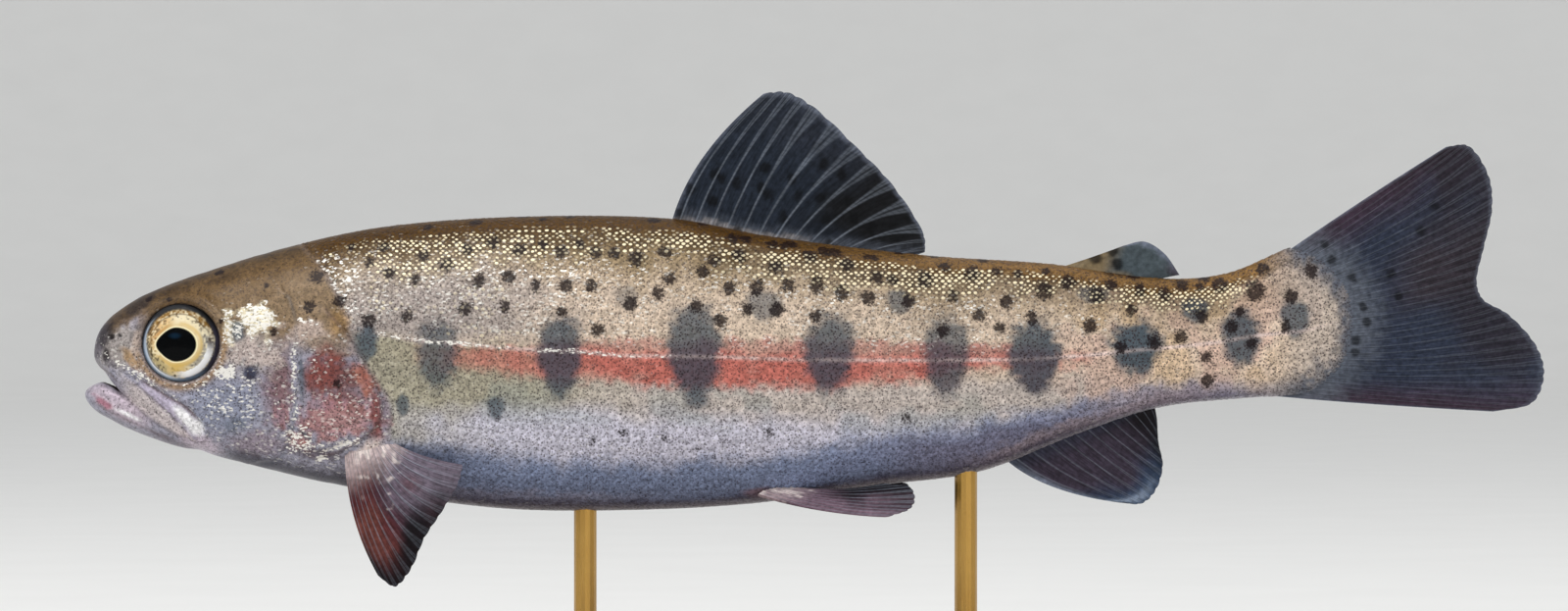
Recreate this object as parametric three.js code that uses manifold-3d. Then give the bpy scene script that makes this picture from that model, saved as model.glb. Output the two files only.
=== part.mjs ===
// A young rainbow trout (parr), life size, as a still display model on a plain stand.
// Millimetres, +Z up. The head points to -X and the fish's left side faces -Y.
// On the fish, "along" is the distance behind the foremost point, which is the tip of the lower jaw,
// "up" is the height above the body axis, and "out" is the distance from the middle plane.
import * as THREE from "three";
import { mergeVertices } from "three/addons/utils/BufferGeometryUtils.js";
import Module from "manifold-3d";

const wasm = await Module();
wasm.setup();

// ---------- driving sizes ----------
const totalLength = 140; // jaw tip to the rear tip of the tail fin
const axisHeight = 38; // body axis above the floor
const seam = 0.3; // gap between pieces that are cut to each other
const flesh = { snout: 0.9, tailBow: 115.4, end: 122.3 };
const headCut = 23; // the head is parted from the trunk here
const ventCut = 88.4; // the trunk is parted from the tail stem here
const coverProud = 0.35; // gill cover and upper jaw stand out by this much
const coverDeep = 1; // and reach this far into the head

// The hollow of the open mouth, an ellipsoid that slopes down to the rear.
const gape = { along: 5, up: -4.5, reach: 4.6, half: 1.9, rise: 0.85, slope: 0.62 };

const eye = { along: 9.2, up: 0.75, out: 2.85, radius: 3.7, depth: 2.35, forward: 0.13, upward: 0.1 };

const stand = {
  centre: -4,
  length: 92,
  width: 42,
  height: 8,
  corner: 7,
  bevel: 1,
  rodRadius: 1.1,
  footRadius: 2.8,
  footHeight: 1,
  rodDepth: 4.5, // how far a rod reaches into the belly
  rodsAlong: [48, 84.5],
};

const colours = {
  back: 0x7a6238,
  flank: 0xb9ab8c,
  tail: 0xc4b496,
  throat: 0xc9bcc0,
  cheek: 0xb07a72,
  jaw: 0xa8978c,
  eye: 0xd8b868,
  fin: 0x4d5765,
  pairedFin: 0x8d6f68,
  walnut: 0x4a2f1d,
  brass: 0xb48a46,
};

// ---------- lines of the body ----------
// A smooth function through a few [along, value] points, level beyond both ends.
function lineThrough(points) {
  const last = points.length - 1;
  const slope = (i) => {
    const a = points[Math.max(i - 1, 0)];
    const b = points[Math.min(i + 1, last)];
    return (b[1] - a[1]) / (b[0] - a[0]);
  };
  return (x) => {
    if (x <= points[0][0]) return points[0][1];
    if (x >= points[last][0]) return points[last][1];
    const i = points.findIndex((p) => p[0] > x) - 1;
    const [[x0, y0], [x1, y1]] = [points[i], points[i + 1]];
    const span = x1 - x0;
    const t = (x - x0) / span;
    const s = 1 - t;
    return (
      y0 * s * s * (1 + 2 * t) +
      y1 * t * t * (3 - 2 * t) +
      span * (slope(i) * t * s * s - slope(i + 1) * t * t * s)
    );
  };
}

const trunkLines = {
  back: lineThrough([
    [0.9, 3.0], [2.2, 3.2], [4.1, 4.45], [6, 5.5], [10.7, 7.3], [20, 10.1], [29.5, 12], [43, 12.9],
    [56.6, 12.65], [65.5, 11.05], [80.3, 9.2], [92.5, 8.35], [103.5, 6.95], [109.5, 7.45], [115.4, 9.9],
  ]),
  belly: lineThrough([
    [0.9, -1.9], [2, -2.25], [4, -4.2], [6.9, -6.9], [11, -9.4], [15.4, -10.75], [24.8, -12.9],
    [38.9, -14.95], [50, -15.25], [63.8, -14.6], [76.5, -12.8], [85.9, -11.5], [95.3, -7.9], [103, -5.4],
    [111.7, -4.45], [115.4, -4.3],
  ]),
  widest: lineThrough([
    [0.9, -0.3], [4, -0.9], [9, -2.2], [20, -3.4], [28, -2.6], [40, -1.5], [80, -0.6], [105, 0.9], [122.3, 3],
  ]),
  halfWidth: lineThrough([
    [0.9, 2.7], [2.2, 2.9], [6, 3.9], [13, 5.35], [24, 6.7], [34, 7.1], [48, 7.2], [60, 6.75], [80, 5.1],
    [100, 3], [112, 1.9], [118, 1.15], [122.3, 0.7],
  ]),
  topPower: lineThrough([[0.9, 2], [9, 2.3], [30, 2.05], [60, 1.9], [122.3, 2]]),
  bottomPower: lineThrough([[0.9, 2.2], [5, 3], [12, 2.4], [40, 2.1], [122.3, 2]]),
};

const jawLines = {
  back: lineThrough([[0, -3.1], [2.5, -3], [4, -3.9], [9, -7.4], [14, -8.6]]),
  belly: lineThrough([[0, -5.4], [2.2, -6.4], [4.1, -7.4], [8.8, -9.1], [14, -10.45]]),
  widest: lineThrough([[0, -4.1], [4, -5], [14, -9]]),
  halfWidth: lineThrough([[0, 1.7], [2, 2.2], [6, 3.1], [14, 4.6]]),
  topPower: lineThrough([[0, 2.2], [14, 2.6]]),
  bottomPower: lineThrough([[0, 2], [14, 2.2]]),
};

// How much of its full size a section has near a round front or rear end.
function endShare(along, front, frontRound, rear, rearRound) {
  const ahead = Math.min(1, Math.max(0, 1 - (along - front) / frontRound));
  const behind = Math.min(1, Math.max(0, 1 - (rear - along) / rearRound));
  return Math.sqrt(1 - ahead * ahead) * Math.sqrt(1 - behind * behind);
}

// One ring of the skin: an egg-shaped section, grown outwards by "grow".
function sectionRing(lines, along, share, grow, count) {
  const middle = lines.widest(along);
  const above = (lines.back(along) - middle) * share + grow;
  const below = (middle - lines.belly(along)) * share + grow;
  const half = lines.halfWidth(along) * share + grow;
  const bulge = (value, power) => Math.sign(value) * Math.abs(value) ** (2 / power);
  return Array.from({ length: count }, (_, i) => {
    const turn = (2 * Math.PI * i) / count;
    const rise = Math.cos(turn);
    const power = rise > 0 ? lines.topPower(along) : lines.bottomPower(along);
    const up = middle + bulge(rise, power) * (rise > 0 ? above : below);
    return new THREE.Vector3(along, -bulge(Math.sin(turn), power) * half, up);
  });
}

// ---------- geometry helpers ----------
// A closed geometry from corner points and faces given by their numbers.
function closedGeometry(points, faces) {
  const geometry = new THREE.BufferGeometry();
  geometry.setAttribute(
    "position",
    new THREE.Float32BufferAttribute(points.flatMap((p) => [p.x, p.y, p.z]), 3),
  );
  geometry.setIndex(faces.flat());
  return geometry;
}

// A skin over rings of equal count, closed by a point at each end.
function loftOf(rings) {
  const count = rings[0].length;
  const centreOf = (ring) =>
    ring.reduce((sum, p) => sum.add(p), new THREE.Vector3()).divideScalar(count);
  const points = [...rings.flat(), centreOf(rings[0]), centreOf(rings.at(-1))];
  const front = rings.length * count;
  const faces = [];
  for (let r = 0; r < rings.length - 1; r++)
    for (let i = 0; i < count; i++) {
      const a = r * count + i;
      const b = r * count + ((i + 1) % count);
      faces.push([a, b, a + count], [b, b + count, a + count]);
    }
  for (let i = 0; i < count; i++) {
    const next = (i + 1) % count;
    const lastRow = (rings.length - 1) * count;
    faces.push([front, next, i], [front + 1, lastRow + i, lastRow + next]);
  }
  return closedGeometry(points, faces);
}

// three.js geometry to a manifold-3d solid, and back.
function solidOf(geometry) {
  const bare = geometry.clone();
  bare.deleteAttribute("normal");
  bare.deleteAttribute("uv");
  const merged = mergeVertices(bare, 1e-4);
  const mesh = new wasm.Mesh({
    numProp: 3,
    vertProperties: new Float32Array(merged.attributes.position.array),
    triVerts: new Uint32Array(merged.index.array),
  });
  return new wasm.Manifold(mesh);
}

function geometryOf(solid) {
  const mesh = solid.getMesh();
  const geometry = new THREE.BufferGeometry();
  geometry.setAttribute("position", new THREE.BufferAttribute(mesh.vertProperties, 3));
  geometry.setIndex(new THREE.BufferAttribute(mesh.triVerts, 1));
  return geometry;
}

// Stations that stand closer together at both round ends.
function stationsBetween(front, rear, spacing) {
  const list = [0.02, 0.12, 0.35, 0.75, 1.3].map((step) => front + step);
  let along = front + 2;
  while (along < rear - 3) {
    list.push(along);
    along += spacing(along);
  }
  return [...list, ...[2.6, 1.6, 0.8, 0.3, 0.03].map((step) => rear - step)];
}

// ---------- flesh ----------
function fleshSolid(grow = 0, around = 24, coarseness = 1) {
  const spacing = (along) => (along < 30 ? 1.9 : along < 108 ? 4.6 : 2.4) * coarseness;
  const rings = stationsBetween(flesh.snout - grow, flesh.end + grow, spacing).map((along) => {
    const share = endShare(along, flesh.snout - grow, 2.0, flesh.end + grow, flesh.end - flesh.tailBow);
    return sectionRing(trunkLines, along, share, grow * share, around);
  });
  return solidOf(loftOf(rings));
}

function jawSolid() {
  const rings = stationsBetween(0, 14, () => 2).map((along) =>
    sectionRing(jawLines, along, endShare(along, 0, 1.9, 14, 0.6), 0, 16),
  );
  return solidOf(loftOf(rings));
}

// A smooth closed outline through a few [along, up] points, moved outwards by "margin".
function outlineThrough(points, margin) {
  const corners = points.map(([x, y]) => new THREE.Vector3(x, y, 0));
  const loop = new THREE.CatmullRomCurve3(corners, true, "centripetal").getPoints(2 * points.length).slice(1);
  return loop.map((here, i) => {
    const [last, next] = [loop.at(i - 1), loop[(i + 1) % loop.length]];
    const forward = next.clone().sub(last).normalize();
    return new THREE.Vector2(here.x + forward.y * margin, here.y - forward.x * margin);
  });
}

// A side-view outline pushed through one side of the fish. Its points run anticlockwise.
function sidePrism(points, side, margin = 0, from = 0.5, to = 12) {
  const shape = new THREE.Shape(outlineThrough(points, margin));
  const geometry = new THREE.ExtrudeGeometry(shape, { depth: to - from, bevelEnabled: false, steps: 1 });
  geometry.rotateX(Math.PI / 2); // the outline's second coordinate is now up, and depth runs to -Y
  geometry.translate(0, side > 0 ? to : -from, 0);
  return solidOf(geometry);
}

const coverOutline = [
  [19.3, -3], [18.6, -9.4], [22.5, -10], [27.4, -8.6], [28.9, -5], [26.4, 0.8], [23.6, 4], [20.2, 3.2],
];
const maxillaOutline = [
  [1.9, -1.7], [4.6, -4.9], [8.4, -7.9], [10.6, -8.5], [11.3, -7.5], [8.6, -4.9], [5.4, -3],
];

// ---------- eyes ----------
function eyeGeometry(side, grow = 0) {
  const geometry = new THREE.SphereGeometry(1, 18, 8);
  geometry.rotateX(Math.PI / 2);
  geometry.scale(eye.radius + grow, eye.depth + grow, eye.radius + grow);
  geometry.rotateX(side * eye.upward);
  geometry.rotateZ(side * eye.forward);
  geometry.translate(eye.along, side * eye.out, eye.up);
  return geometry;
}

// The eye's opening in the skin, a short tube that leads out from the eyeball.
function orbitSolid(side) {
  const geometry = new THREE.CylinderGeometry(eye.radius + seam, eye.radius + seam, 4, 18);
  geometry.translate(0, side * 2, 0);
  geometry.rotateX(side * eye.upward);
  geometry.rotateZ(side * eye.forward);
  geometry.translate(eye.along, side * eye.out, eye.up);
  return solidOf(geometry).add(solidOf(eyeGeometry(side, seam)));
}

// ---------- fins ----------
const point = (along, up, out = 0) => new THREE.Vector3(along, out, up);

// A curve through a few points, read evenly from 0 to 1.
function curveThrough(points) {
  return new THREE.CatmullRomCurve3(points.map((p) => point(...p)), false, "centripetal");
}

// A fin is a fan of bent rays between its root and its edge. Ribs on both faces follow its main rays.
// Curves run along the root, along the middle of the rays and along the edge.
function finGeometry({ root, bend, edge, ribs, rows, rootThick, edgeThick, ridge }) {
  const columns = 2 * ribs - 1;
  const at = (u, v) => {
    const ray = new THREE.QuadraticBezierCurve3(root.getPoint(u), bend.getPoint(u), edge.getPoint(u));
    return ray.getPoint(v);
  };
  const step = 1e-3;
  const faceNormal = (u, v) => {
    const [u0, v0] = [Math.min(u, 1 - step), Math.min(v, 1 - step)];
    const here = at(u0, v0);
    const across = at(u0 + step, v0).sub(here);
    const outwards = at(u0, v0 + step).sub(here);
    return across.cross(outwards).normalize();
  };
  const points = [];
  for (const face of [1, -1])
    for (let c = 0; c < columns; c++)
      for (let r = 0; r <= rows; r++) {
        const [u, v] = [c / (columns - 1), r / rows];
        const onRay = c % 2 === 0 ? ridge : 0;
        const half = (THREE.MathUtils.lerp(rootThick, edgeThick, v) + onRay * (1 - 0.6 * v)) / 2;
        points.push(at(u, v).addScaledVector(faceNormal(u, v), face * half));
      }
  const number = (face, c, r) => (face * columns + c) * (rows + 1) + r;
  const faces = [];
  const wall = (a, b, c, d) => faces.push([a, b, c], [a, c, d]);
  for (let c = 0; c < columns - 1; c++)
    for (let r = 0; r < rows; r++) {
      wall(number(0, c, r), number(0, c + 1, r), number(0, c + 1, r + 1), number(0, c, r + 1));
      wall(number(1, c, r), number(1, c, r + 1), number(1, c + 1, r + 1), number(1, c + 1, r));
    }
  for (let c = 0; c < columns - 1; c++) {
    wall(number(0, c, 0), number(1, c, 0), number(1, c + 1, 0), number(0, c + 1, 0));
    wall(number(0, c, rows), number(0, c + 1, rows), number(1, c + 1, rows), number(1, c, rows));
  }
  const end = columns - 1;
  for (let r = 0; r < rows; r++) {
    wall(number(0, 0, r), number(0, 0, r + 1), number(1, 0, r + 1), number(1, 0, r));
    wall(number(0, end, r), number(1, end, r), number(1, end, r + 1), number(0, end, r + 1));
  }
  return closedGeometry(points, faces);
}

// A fin's closed solid, whichever way round its root and edge run.
function finSolid(fin) {
  const geometry = finGeometry(fin);
  const solid = solidOf(geometry);
  if (solid.volume() > 0) return solid;
  const index = geometry.index.array;
  for (let i = 0; i < index.length; i += 3) [index[i + 1], index[i + 2]] = [index[i + 2], index[i + 1]];
  return solidOf(geometry);
}

const dorsalFin = {
  root: curveThrough([[56.1, 11.6], [64, 10.3], [71, 9.2], [79.6, 8.2]]),
  bend: curveThrough([[57.6, 18.5], [64.6, 18.8], [71.2, 14.6], [80.1, 9.4]]),
  edge: curveThrough([
    [65.2, 24.75], [67.3, 24.85], [69.8, 23.5], [74.2, 19.4], [77.6, 15.8], [80.5, 11.1], [80.6, 9.5],
  ]),
  ribs: 7,
  rows: 4,
  rootThick: 1.0,
  edgeThick: 0.5,
  ridge: 0.18,
};

const adiposeFin = {
  root: curveThrough([[92.2, 7.6], [97.4, 6.8], [101.6, 6.0]]),
  bend: curveThrough([[96.2, 8.8], [99.5, 8.2], [101.9, 6.8]]),
  edge: curveThrough([[99.6, 10.1], [101.6, 10.5], [103.5, 9.4], [105, 7.3]]),
  ribs: 3,
  rows: 4,
  rootThick: 1.1,
  edgeThick: 0.55,
  ridge: 0,
};

const tailFin = {
  root: curveThrough([[112.4, 7.5], [116, 6.2], [118, 3], [116, -0.8], [113, -4.2]]),
  bend: curveThrough([[121, 13.6], [125, 8.6], [126, 3.6], [125, -2.2], [122, -5.1]]),
  edge: curveThrough([
    [130.6, 19.6], [132.7, 19.7], [134.7, 16.8], [135, 13.6], [134.2, 10], [133.5, 6.6], [134.1, 5],
    [136.6, 3.5], [139.3, 0.4], [139.97, -2.2], [138.9, -4.9], [135.2, -5.8],
  ]),
  ribs: 10,
  rows: 4,
  rootThick: 1.3,
  edgeThick: 0.5,
  ridge: 0.18,
};

const analFin = {
  root: curveThrough([[88, -10.1], [93.5, -7.8], [98, -6], [102.4, -4.6]]),
  bend: curveThrough([[91.6, -13.55], [97, -10.8], [100, -8.4], [102.7, -5.5]]),
  edge: curveThrough([
    [99.4, -14.55], [101.4, -14.6], [102.7, -13.4], [103.4, -11], [103, -8.8], [102.85, -6.6],
  ]),
  ribs: 6,
  rows: 4,
  rootThick: 0.95,
  edgeThick: 0.5,
  ridge: 0.16,
};

// Paired fins: the third coordinate is the distance out on the fish's own side.
function pectoralFin(side) {
  const placed = (points) => curveThrough(points.map(([along, up, out]) => [along, up, side * out]));
  return {
    root: placed([[25.7, -9.7, 4.9], [27.6, -9, 5.3], [29.8, -8.6, 5.6]]),
    bend: placed([[25.9, -16, 7.3], [28.7, -14.6, 7.9], [32.2, -10.2, 7.6]]),
    edge: placed([
      [28.9, -21.2, 8.6], [30.3, -22.2, 8.9], [31.7, -20.7, 9.2], [33.1, -17.6, 9.3], [34.7, -15.2, 9.2],
      [36.6, -12.5, 8.8], [36.3, -11.1, 8.4],
    ]),
    ribs: 6,
    rows: 4,
    rootThick: 1.2,
    edgeThick: 0.5,
    ridge: 0.16,
  };
}

function pelvicFin(side) {
  const placed = (points) => curveThrough(points.map(([along, up, out]) => [along, up, side * out]));
  return {
    root: placed([[64.6, -13.7, 3.4], [66.2, -13.4, 2.7], [67.8, -13.2, 1.9]]),
    bend: placed([[70.5, -15.7, 5.6], [72, -14.8, 4.2], [72.6, -13.9, 2.4]]),
    edge: placed([
      [76.8, -15.6, 7.3], [78.7, -15.2, 6.9], [79.5, -14.2, 5.8], [79, -13.2, 4.4], [76.6, -13.1, 2.9],
    ]),
    ribs: 5,
    rows: 4,
    rootThick: 1.0,
    edgeThick: 0.5,
    ridge: 0.16,
  };
}

// ---------- the pieces ----------
const group = new THREE.Group();
const fish = new THREE.Group();
fish.position.set(-totalLength / 2, 0, axisHeight);
group.add(fish);

function addPiece(parent, name, geometry, colour, roughness = 0.4, metalness = 0) {
  const material = new THREE.MeshStandardMaterial({ color: colour, roughness, metalness });
  const mesh = new THREE.Mesh(geometry, material);
  mesh.name = name;
  parent.add(mesh);
  return mesh;
}

const sides = [["left", -1], ["right", 1]];
const body = fleshSolid();
const bodyGrown = fleshSolid(seam);
const bodyProud = fleshSolid(coverProud);
const bodyCore = fleshSolid(-coverDeep, 16, 1.6);
const coreShell = fleshSolid(-coverDeep - seam, 16, 1.6);

// What is taken out of the body around the eyes, gill covers and upper jaw.
let carved = body;
for (const [, side] of sides) {
  carved = carved.subtract(orbitSolid(side));
  carved = carved.subtract(sidePrism(coverOutline, side, seam).subtract(coreShell));
  carved = carved.subtract(sidePrism(maxillaOutline, side, seam).subtract(coreShell));
}

// The mouth is slightly open: a sloping hollow between palate and jaw.
const mouthGeometry = new THREE.SphereGeometry(1, 12, 8);
mouthGeometry.scale(gape.reach, gape.half, gape.rise);
mouthGeometry.rotateY(gape.slope);
mouthGeometry.translate(gape.along, 0, gape.up);
const mouth = solidOf(mouthGeometry);
carved = carved.subtract(mouth);

// Rod sockets in the belly.
const rodTops = stand.rodsAlong.map((along) => axisHeight + trunkLines.belly(along) + stand.rodDepth);
stand.rodsAlong.forEach((along) => {
  const radius = stand.rodRadius + seam;
  const socket = new THREE.CylinderGeometry(radius, radius, 2 * (stand.rodDepth + seam), 10);
  socket.rotateX(Math.PI / 2);
  socket.translate(along, 0, trunkLines.belly(along));
  carved = carved.subtract(solidOf(socket));
});

// The largest of the bodies that a cut leaves, without slivers.
const mainBody = (solid) => solid.decompose().sort((a, b) => b.volume() - a.volume())[0];
const behind = (solid, along) => solid.trimByPlane([1, 0, 0], along);
const before = (solid, along) => solid.trimByPlane([-1, 0, 0], -along);

addPiece(fish, "head", geometryOf(mainBody(before(carved, headCut))), colours.back);
addPiece(fish, "trunk", geometryOf(mainBody(before(behind(carved, headCut), ventCut))), colours.flank);
addPiece(fish, "tail_stem", geometryOf(mainBody(behind(carved, ventCut))), colours.tail);

let jaw = jawSolid().subtract(bodyGrown).subtract(mouth);
for (const [, side] of sides) jaw = jaw.subtract(sidePrism(maxillaOutline, side, seam).subtract(coreShell));
addPiece(fish, "lower_jaw", geometryOf(mainBody(jaw)), colours.jaw);

for (const [name, side] of sides) {
  const cover = sidePrism(coverOutline, side).intersect(bodyProud).subtract(bodyCore);
  addPiece(fish, "gill_cover_" + name, geometryOf(mainBody(cover)), colours.cheek);
  const plateArea = sidePrism(maxillaOutline, side).intersect(bodyProud);
  const plate = plateArea.subtract(bodyCore).subtract(orbitSolid(side));
  addPiece(fish, "maxilla_" + name, geometryOf(mainBody(plate)), colours.throat);
  addPiece(fish, "eye_" + name, geometryOf(solidOf(eyeGeometry(side))), colours.eye, 0.1);
  const wholePectoral = finSolid(pectoralFin(side));
  const pectoral = wholePectoral.subtract(bodyGrown).subtract(sidePrism(coverOutline, side, seam));
  addPiece(fish, "fin_pectoral_" + name, geometryOf(mainBody(pectoral)), colours.pairedFin);
  const pelvic = finSolid(pelvicFin(side)).subtract(bodyGrown);
  addPiece(fish, "fin_pelvic_" + name, geometryOf(mainBody(pelvic)), colours.pairedFin);
}

const middleFins = [["dorsal", dorsalFin], ["adipose", adiposeFin], ["caudal", tailFin], ["anal", analFin]];
for (const [name, fin] of middleFins)
  addPiece(fish, "fin_" + name, geometryOf(mainBody(finSolid(fin).subtract(bodyGrown))), colours.fin);

// ---------- display stand ----------
function baseGeometry() {
  const [x, y] = [stand.length / 2 - stand.bevel, stand.width / 2 - stand.bevel];
  const c = stand.corner;
  const shape = new THREE.Shape();
  shape.moveTo(-x + c, -y);
  shape.lineTo(x - c, -y);
  shape.absarc(x - c, -y + c, c, -Math.PI / 2, 0);
  shape.absarc(x - c, y - c, c, 0, Math.PI / 2);
  shape.absarc(-x + c, y - c, c, Math.PI / 2, Math.PI);
  shape.absarc(-x + c, -y + c, c, Math.PI, 1.5 * Math.PI);
  const geometry = new THREE.ExtrudeGeometry(shape, {
    depth: stand.height - 2 * stand.bevel,
    bevelThickness: stand.bevel,
    bevelSize: stand.bevel,
    bevelSegments: 1,
    curveSegments: 5,
  });
  geometry.translate(stand.centre, 0, stand.bevel);
  return geometry;
}
addPiece(group, "stand_base", baseGeometry(), colours.walnut, 0.45);

function rodGeometry(length) {
  const { footRadius, footHeight, rodRadius } = stand;
  const profile = [
    [0, 0], [footRadius, 0], [footRadius, footHeight * 0.7], [footRadius - 0.3, footHeight],
    [rodRadius, footHeight], [rodRadius, length], [0, length],
  ];
  const geometry = new THREE.LatheGeometry(profile.map(([r, z]) => new THREE.Vector2(r, z)), 14);
  geometry.rotateX(Math.PI / 2);
  return geometry;
}
["front", "rear"].forEach((name, i) => {
  const rodShape = rodGeometry(rodTops[i] - stand.height);
  const rod = addPiece(group, "stand_rod_" + name, rodShape, colours.brass, 0.3, 1);
  rod.position.set(stand.rodsAlong[i] - totalLength / 2, 0, stand.height);
});

export default group;
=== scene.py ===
# A young rainbow trout, life size, as a still display model on a plain walnut and brass stand.
# Its flesh is shaped in millimetres: "along" behind the jaw tip, "out" to its right, "up" above its axis.
import math
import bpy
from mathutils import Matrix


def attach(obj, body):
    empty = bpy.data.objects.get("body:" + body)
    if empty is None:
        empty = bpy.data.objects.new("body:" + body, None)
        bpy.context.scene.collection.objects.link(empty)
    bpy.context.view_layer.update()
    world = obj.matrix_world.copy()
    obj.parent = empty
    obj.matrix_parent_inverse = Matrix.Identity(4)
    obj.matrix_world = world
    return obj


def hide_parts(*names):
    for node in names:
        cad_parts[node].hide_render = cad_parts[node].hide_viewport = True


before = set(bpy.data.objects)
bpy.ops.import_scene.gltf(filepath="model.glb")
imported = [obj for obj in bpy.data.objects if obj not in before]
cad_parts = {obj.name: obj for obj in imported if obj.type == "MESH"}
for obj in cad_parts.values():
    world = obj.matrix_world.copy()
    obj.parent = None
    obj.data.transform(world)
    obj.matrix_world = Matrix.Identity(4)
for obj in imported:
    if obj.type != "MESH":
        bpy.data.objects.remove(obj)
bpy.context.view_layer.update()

from types import SimpleNamespace

import bpy
import numpy as np

bpy.ops.object.select_all(action="DESELECT")

fishPlace = {"length": 140.0, "axisHeight": 38.0}
sides = {"left": -1, "right": 1}
sideView = {"distance": 600.0, "along": 67.1, "up": 4.4}  # head features are laid out as seen from here


# Small helpers: colours, smooth lines, soft noise, nodes and meshes.
def srgb(code):
    # a hex colour as linear red, green and blue
    parts = np.array([int(code[i:i + 2], 16) for i in (1, 3, 5)]) / 255
    return np.where(parts <= 0.04045, parts / 12.92, ((parts + 0.055) / 1.055) ** 2.4)


def rgba(code):
    return (*srgb(code), 1.0)


def lineThrough(points):
    # a smooth line through a few (along, value) points, level beyond both ends
    xs, ys = np.array(points, float).T
    last = len(xs) - 1
    after = np.minimum(np.arange(last + 1) + 1, last)
    ahead = np.maximum(np.arange(last + 1) - 1, 0)
    slopes = (ys[after] - ys[ahead]) / (xs[after] - xs[ahead])

    def line(x):
        x = np.clip(x, xs[0], xs[-1])
        i = np.clip(np.searchsorted(xs, x, side="right") - 1, 0, last - 1)
        span = xs[i + 1] - xs[i]
        t = (x - xs[i]) / span
        s = 1 - t
        bend = slopes[i] * t * s * s - slopes[i + 1] * t * t * s
        return ys[i] * s * s * (1 + 2 * t) + ys[i + 1] * t * t * (3 - 2 * t) + span * bend

    return line


def curveAt(points, steps):
    # places on a smooth curve through a few points, with the steps counted in points
    points = np.array(points, float)
    padded = np.vstack([2 * points[0] - points[1], points, 2 * points[-1] - points[-2]])
    gaps = np.linalg.norm(np.diff(padded, axis=0), axis=1) ** 0.5
    times = np.concatenate([[0], np.cumsum(gaps)])
    i = np.clip(np.floor(steps).astype(int), 0, len(points) - 2) + 1
    t = (times[i] + (steps - i + 1) * gaps[i])[:, None]
    t0, t1, t2, t3 = (times[i + k][:, None] for k in (-1, 0, 1, 2))
    p0, p1, p2, p3 = (padded[i + k] for k in (-1, 0, 1, 2))
    a1 = (t1 - t) / (t1 - t0) * p0 + (t - t0) / (t1 - t0) * p1
    a2 = (t2 - t) / (t2 - t1) * p1 + (t - t1) / (t2 - t1) * p2
    a3 = (t3 - t) / (t3 - t2) * p2 + (t - t2) / (t3 - t2) * p3
    b1 = (t2 - t) / (t2 - t0) * a1 + (t - t0) / (t2 - t0) * a2
    b2 = (t3 - t) / (t3 - t1) * a2 + (t - t1) / (t3 - t1) * a3
    return (t2 - t) / (t2 - t1) * b1 + (t - t1) / (t2 - t1) * b2


def ease(value, low, high):
    # 0 below low, 1 above high, smooth between
    t = np.clip((value - low) / (high - low), 0, 1)
    return t * t * (3 - 2 * t)


def cloud(points, size, seed):
    # soft random values from 0 to 1 in space, with lumps of the given size
    grid = np.asarray(points) / size + seed * 17.31
    cell = np.floor(grid)
    t = grid - cell
    t = t * t * (3 - 2 * t)
    total = 0
    for corner in np.ndindex(2, 2, 2):
        here = cell + corner
        value = np.sin(here @ np.array([12.989, 78.233, 37.719]) + seed) * 43758.5453
        weight = np.prod(np.where(corner, t, 1 - t), axis=-1)
        total = total + (value - np.floor(value)) * weight
    return total


def addNode(tree, kind, settings=None, links=None):
    # one node with its settings and what feeds it: a socket, or the first live output of another node
    node = tree.nodes.new("ShaderNode" + kind)
    for name, value in (settings or {}).items():
        if isinstance(name, int) or name in node.inputs:
            node.inputs[name].default_value = value
        else:
            setattr(node, name, value)
    for name, source in (links or {}).items():
        if isinstance(source, bpy.types.Node):
            source = next(socket for socket in source.outputs if socket.enabled)
        tree.links.new(source, node.inputs[name])
    return node


def finishMaterial(tree, shader):
    # joins the shader to the output and lays the nodes out from left to right, in the order they were made
    addNode(tree, "OutputMaterial", {}, {"Surface": shader})
    for i, node in enumerate(tree.nodes):
        node.location = (220 * (i % 12), -320 * (i // 12))


def startMaterial(name):
    material = bpy.data.materials.new(name)
    material.use_nodes = True
    material.node_tree.nodes.clear()
    return material, material.node_tree


def activate(piece):
    bpy.ops.object.select_all(action="DESELECT")
    piece.select_set(True)
    bpy.context.view_layer.objects.active = piece


def applyModifier(piece, kind, **settings):
    activate(piece)
    modifier = piece.modifiers.new(kind.title(), kind)
    for name, value in settings.items():
        setattr(modifier, name, value)
    bpy.ops.object.modifier_apply(modifier=modifier.name)


def readPoints(piece):
    points = np.zeros(len(piece.data.vertices) * 3)
    piece.data.vertices.foreach_get("co", points)
    return points.reshape(-1, 3)


def readNormals(piece):
    normals = np.zeros(len(piece.data.vertices) * 3)
    piece.data.vertex_normals.foreach_get("vector", normals)
    return normals.reshape(-1, 3)


def writePoints(piece, points):
    piece.data.vertices.foreach_set("co", np.ascontiguousarray(points, dtype=np.float32).ravel())
    piece.data.update()


def storeColour(piece, name, rgb, alpha):
    # a colour and one more value at each point
    layer = piece.data.attributes.new(name, "FLOAT_COLOR", "POINT")
    values = np.column_stack([rgb, alpha])
    layer.data.foreach_set("color", values.astype(np.float32).ravel())


def storeVector(piece, name, values):
    layer = piece.data.attributes.new(name, "FLOAT_VECTOR", "POINT")
    layer.data.foreach_set("vector", np.asarray(values, np.float32).ravel())


def turnOutwards(piece):
    activate(piece)
    bpy.ops.object.mode_set(mode="EDIT")
    bpy.ops.mesh.select_all(action="SELECT")
    bpy.ops.mesh.normals_make_consistent(inside=False)
    bpy.ops.object.mode_set(mode="OBJECT")


def seenFromSide(points):
    # where a viewer 600 mm out to the side sees each point, on the fish's middle plane
    share = 1 - np.abs(points[:, 1:2]) / sideView["distance"]
    middle = np.array([sideView["along"], 0, sideView["up"]])
    seen = middle + (points - middle) / share
    seen[:, 1] = points[:, 1]
    return seen


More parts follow.
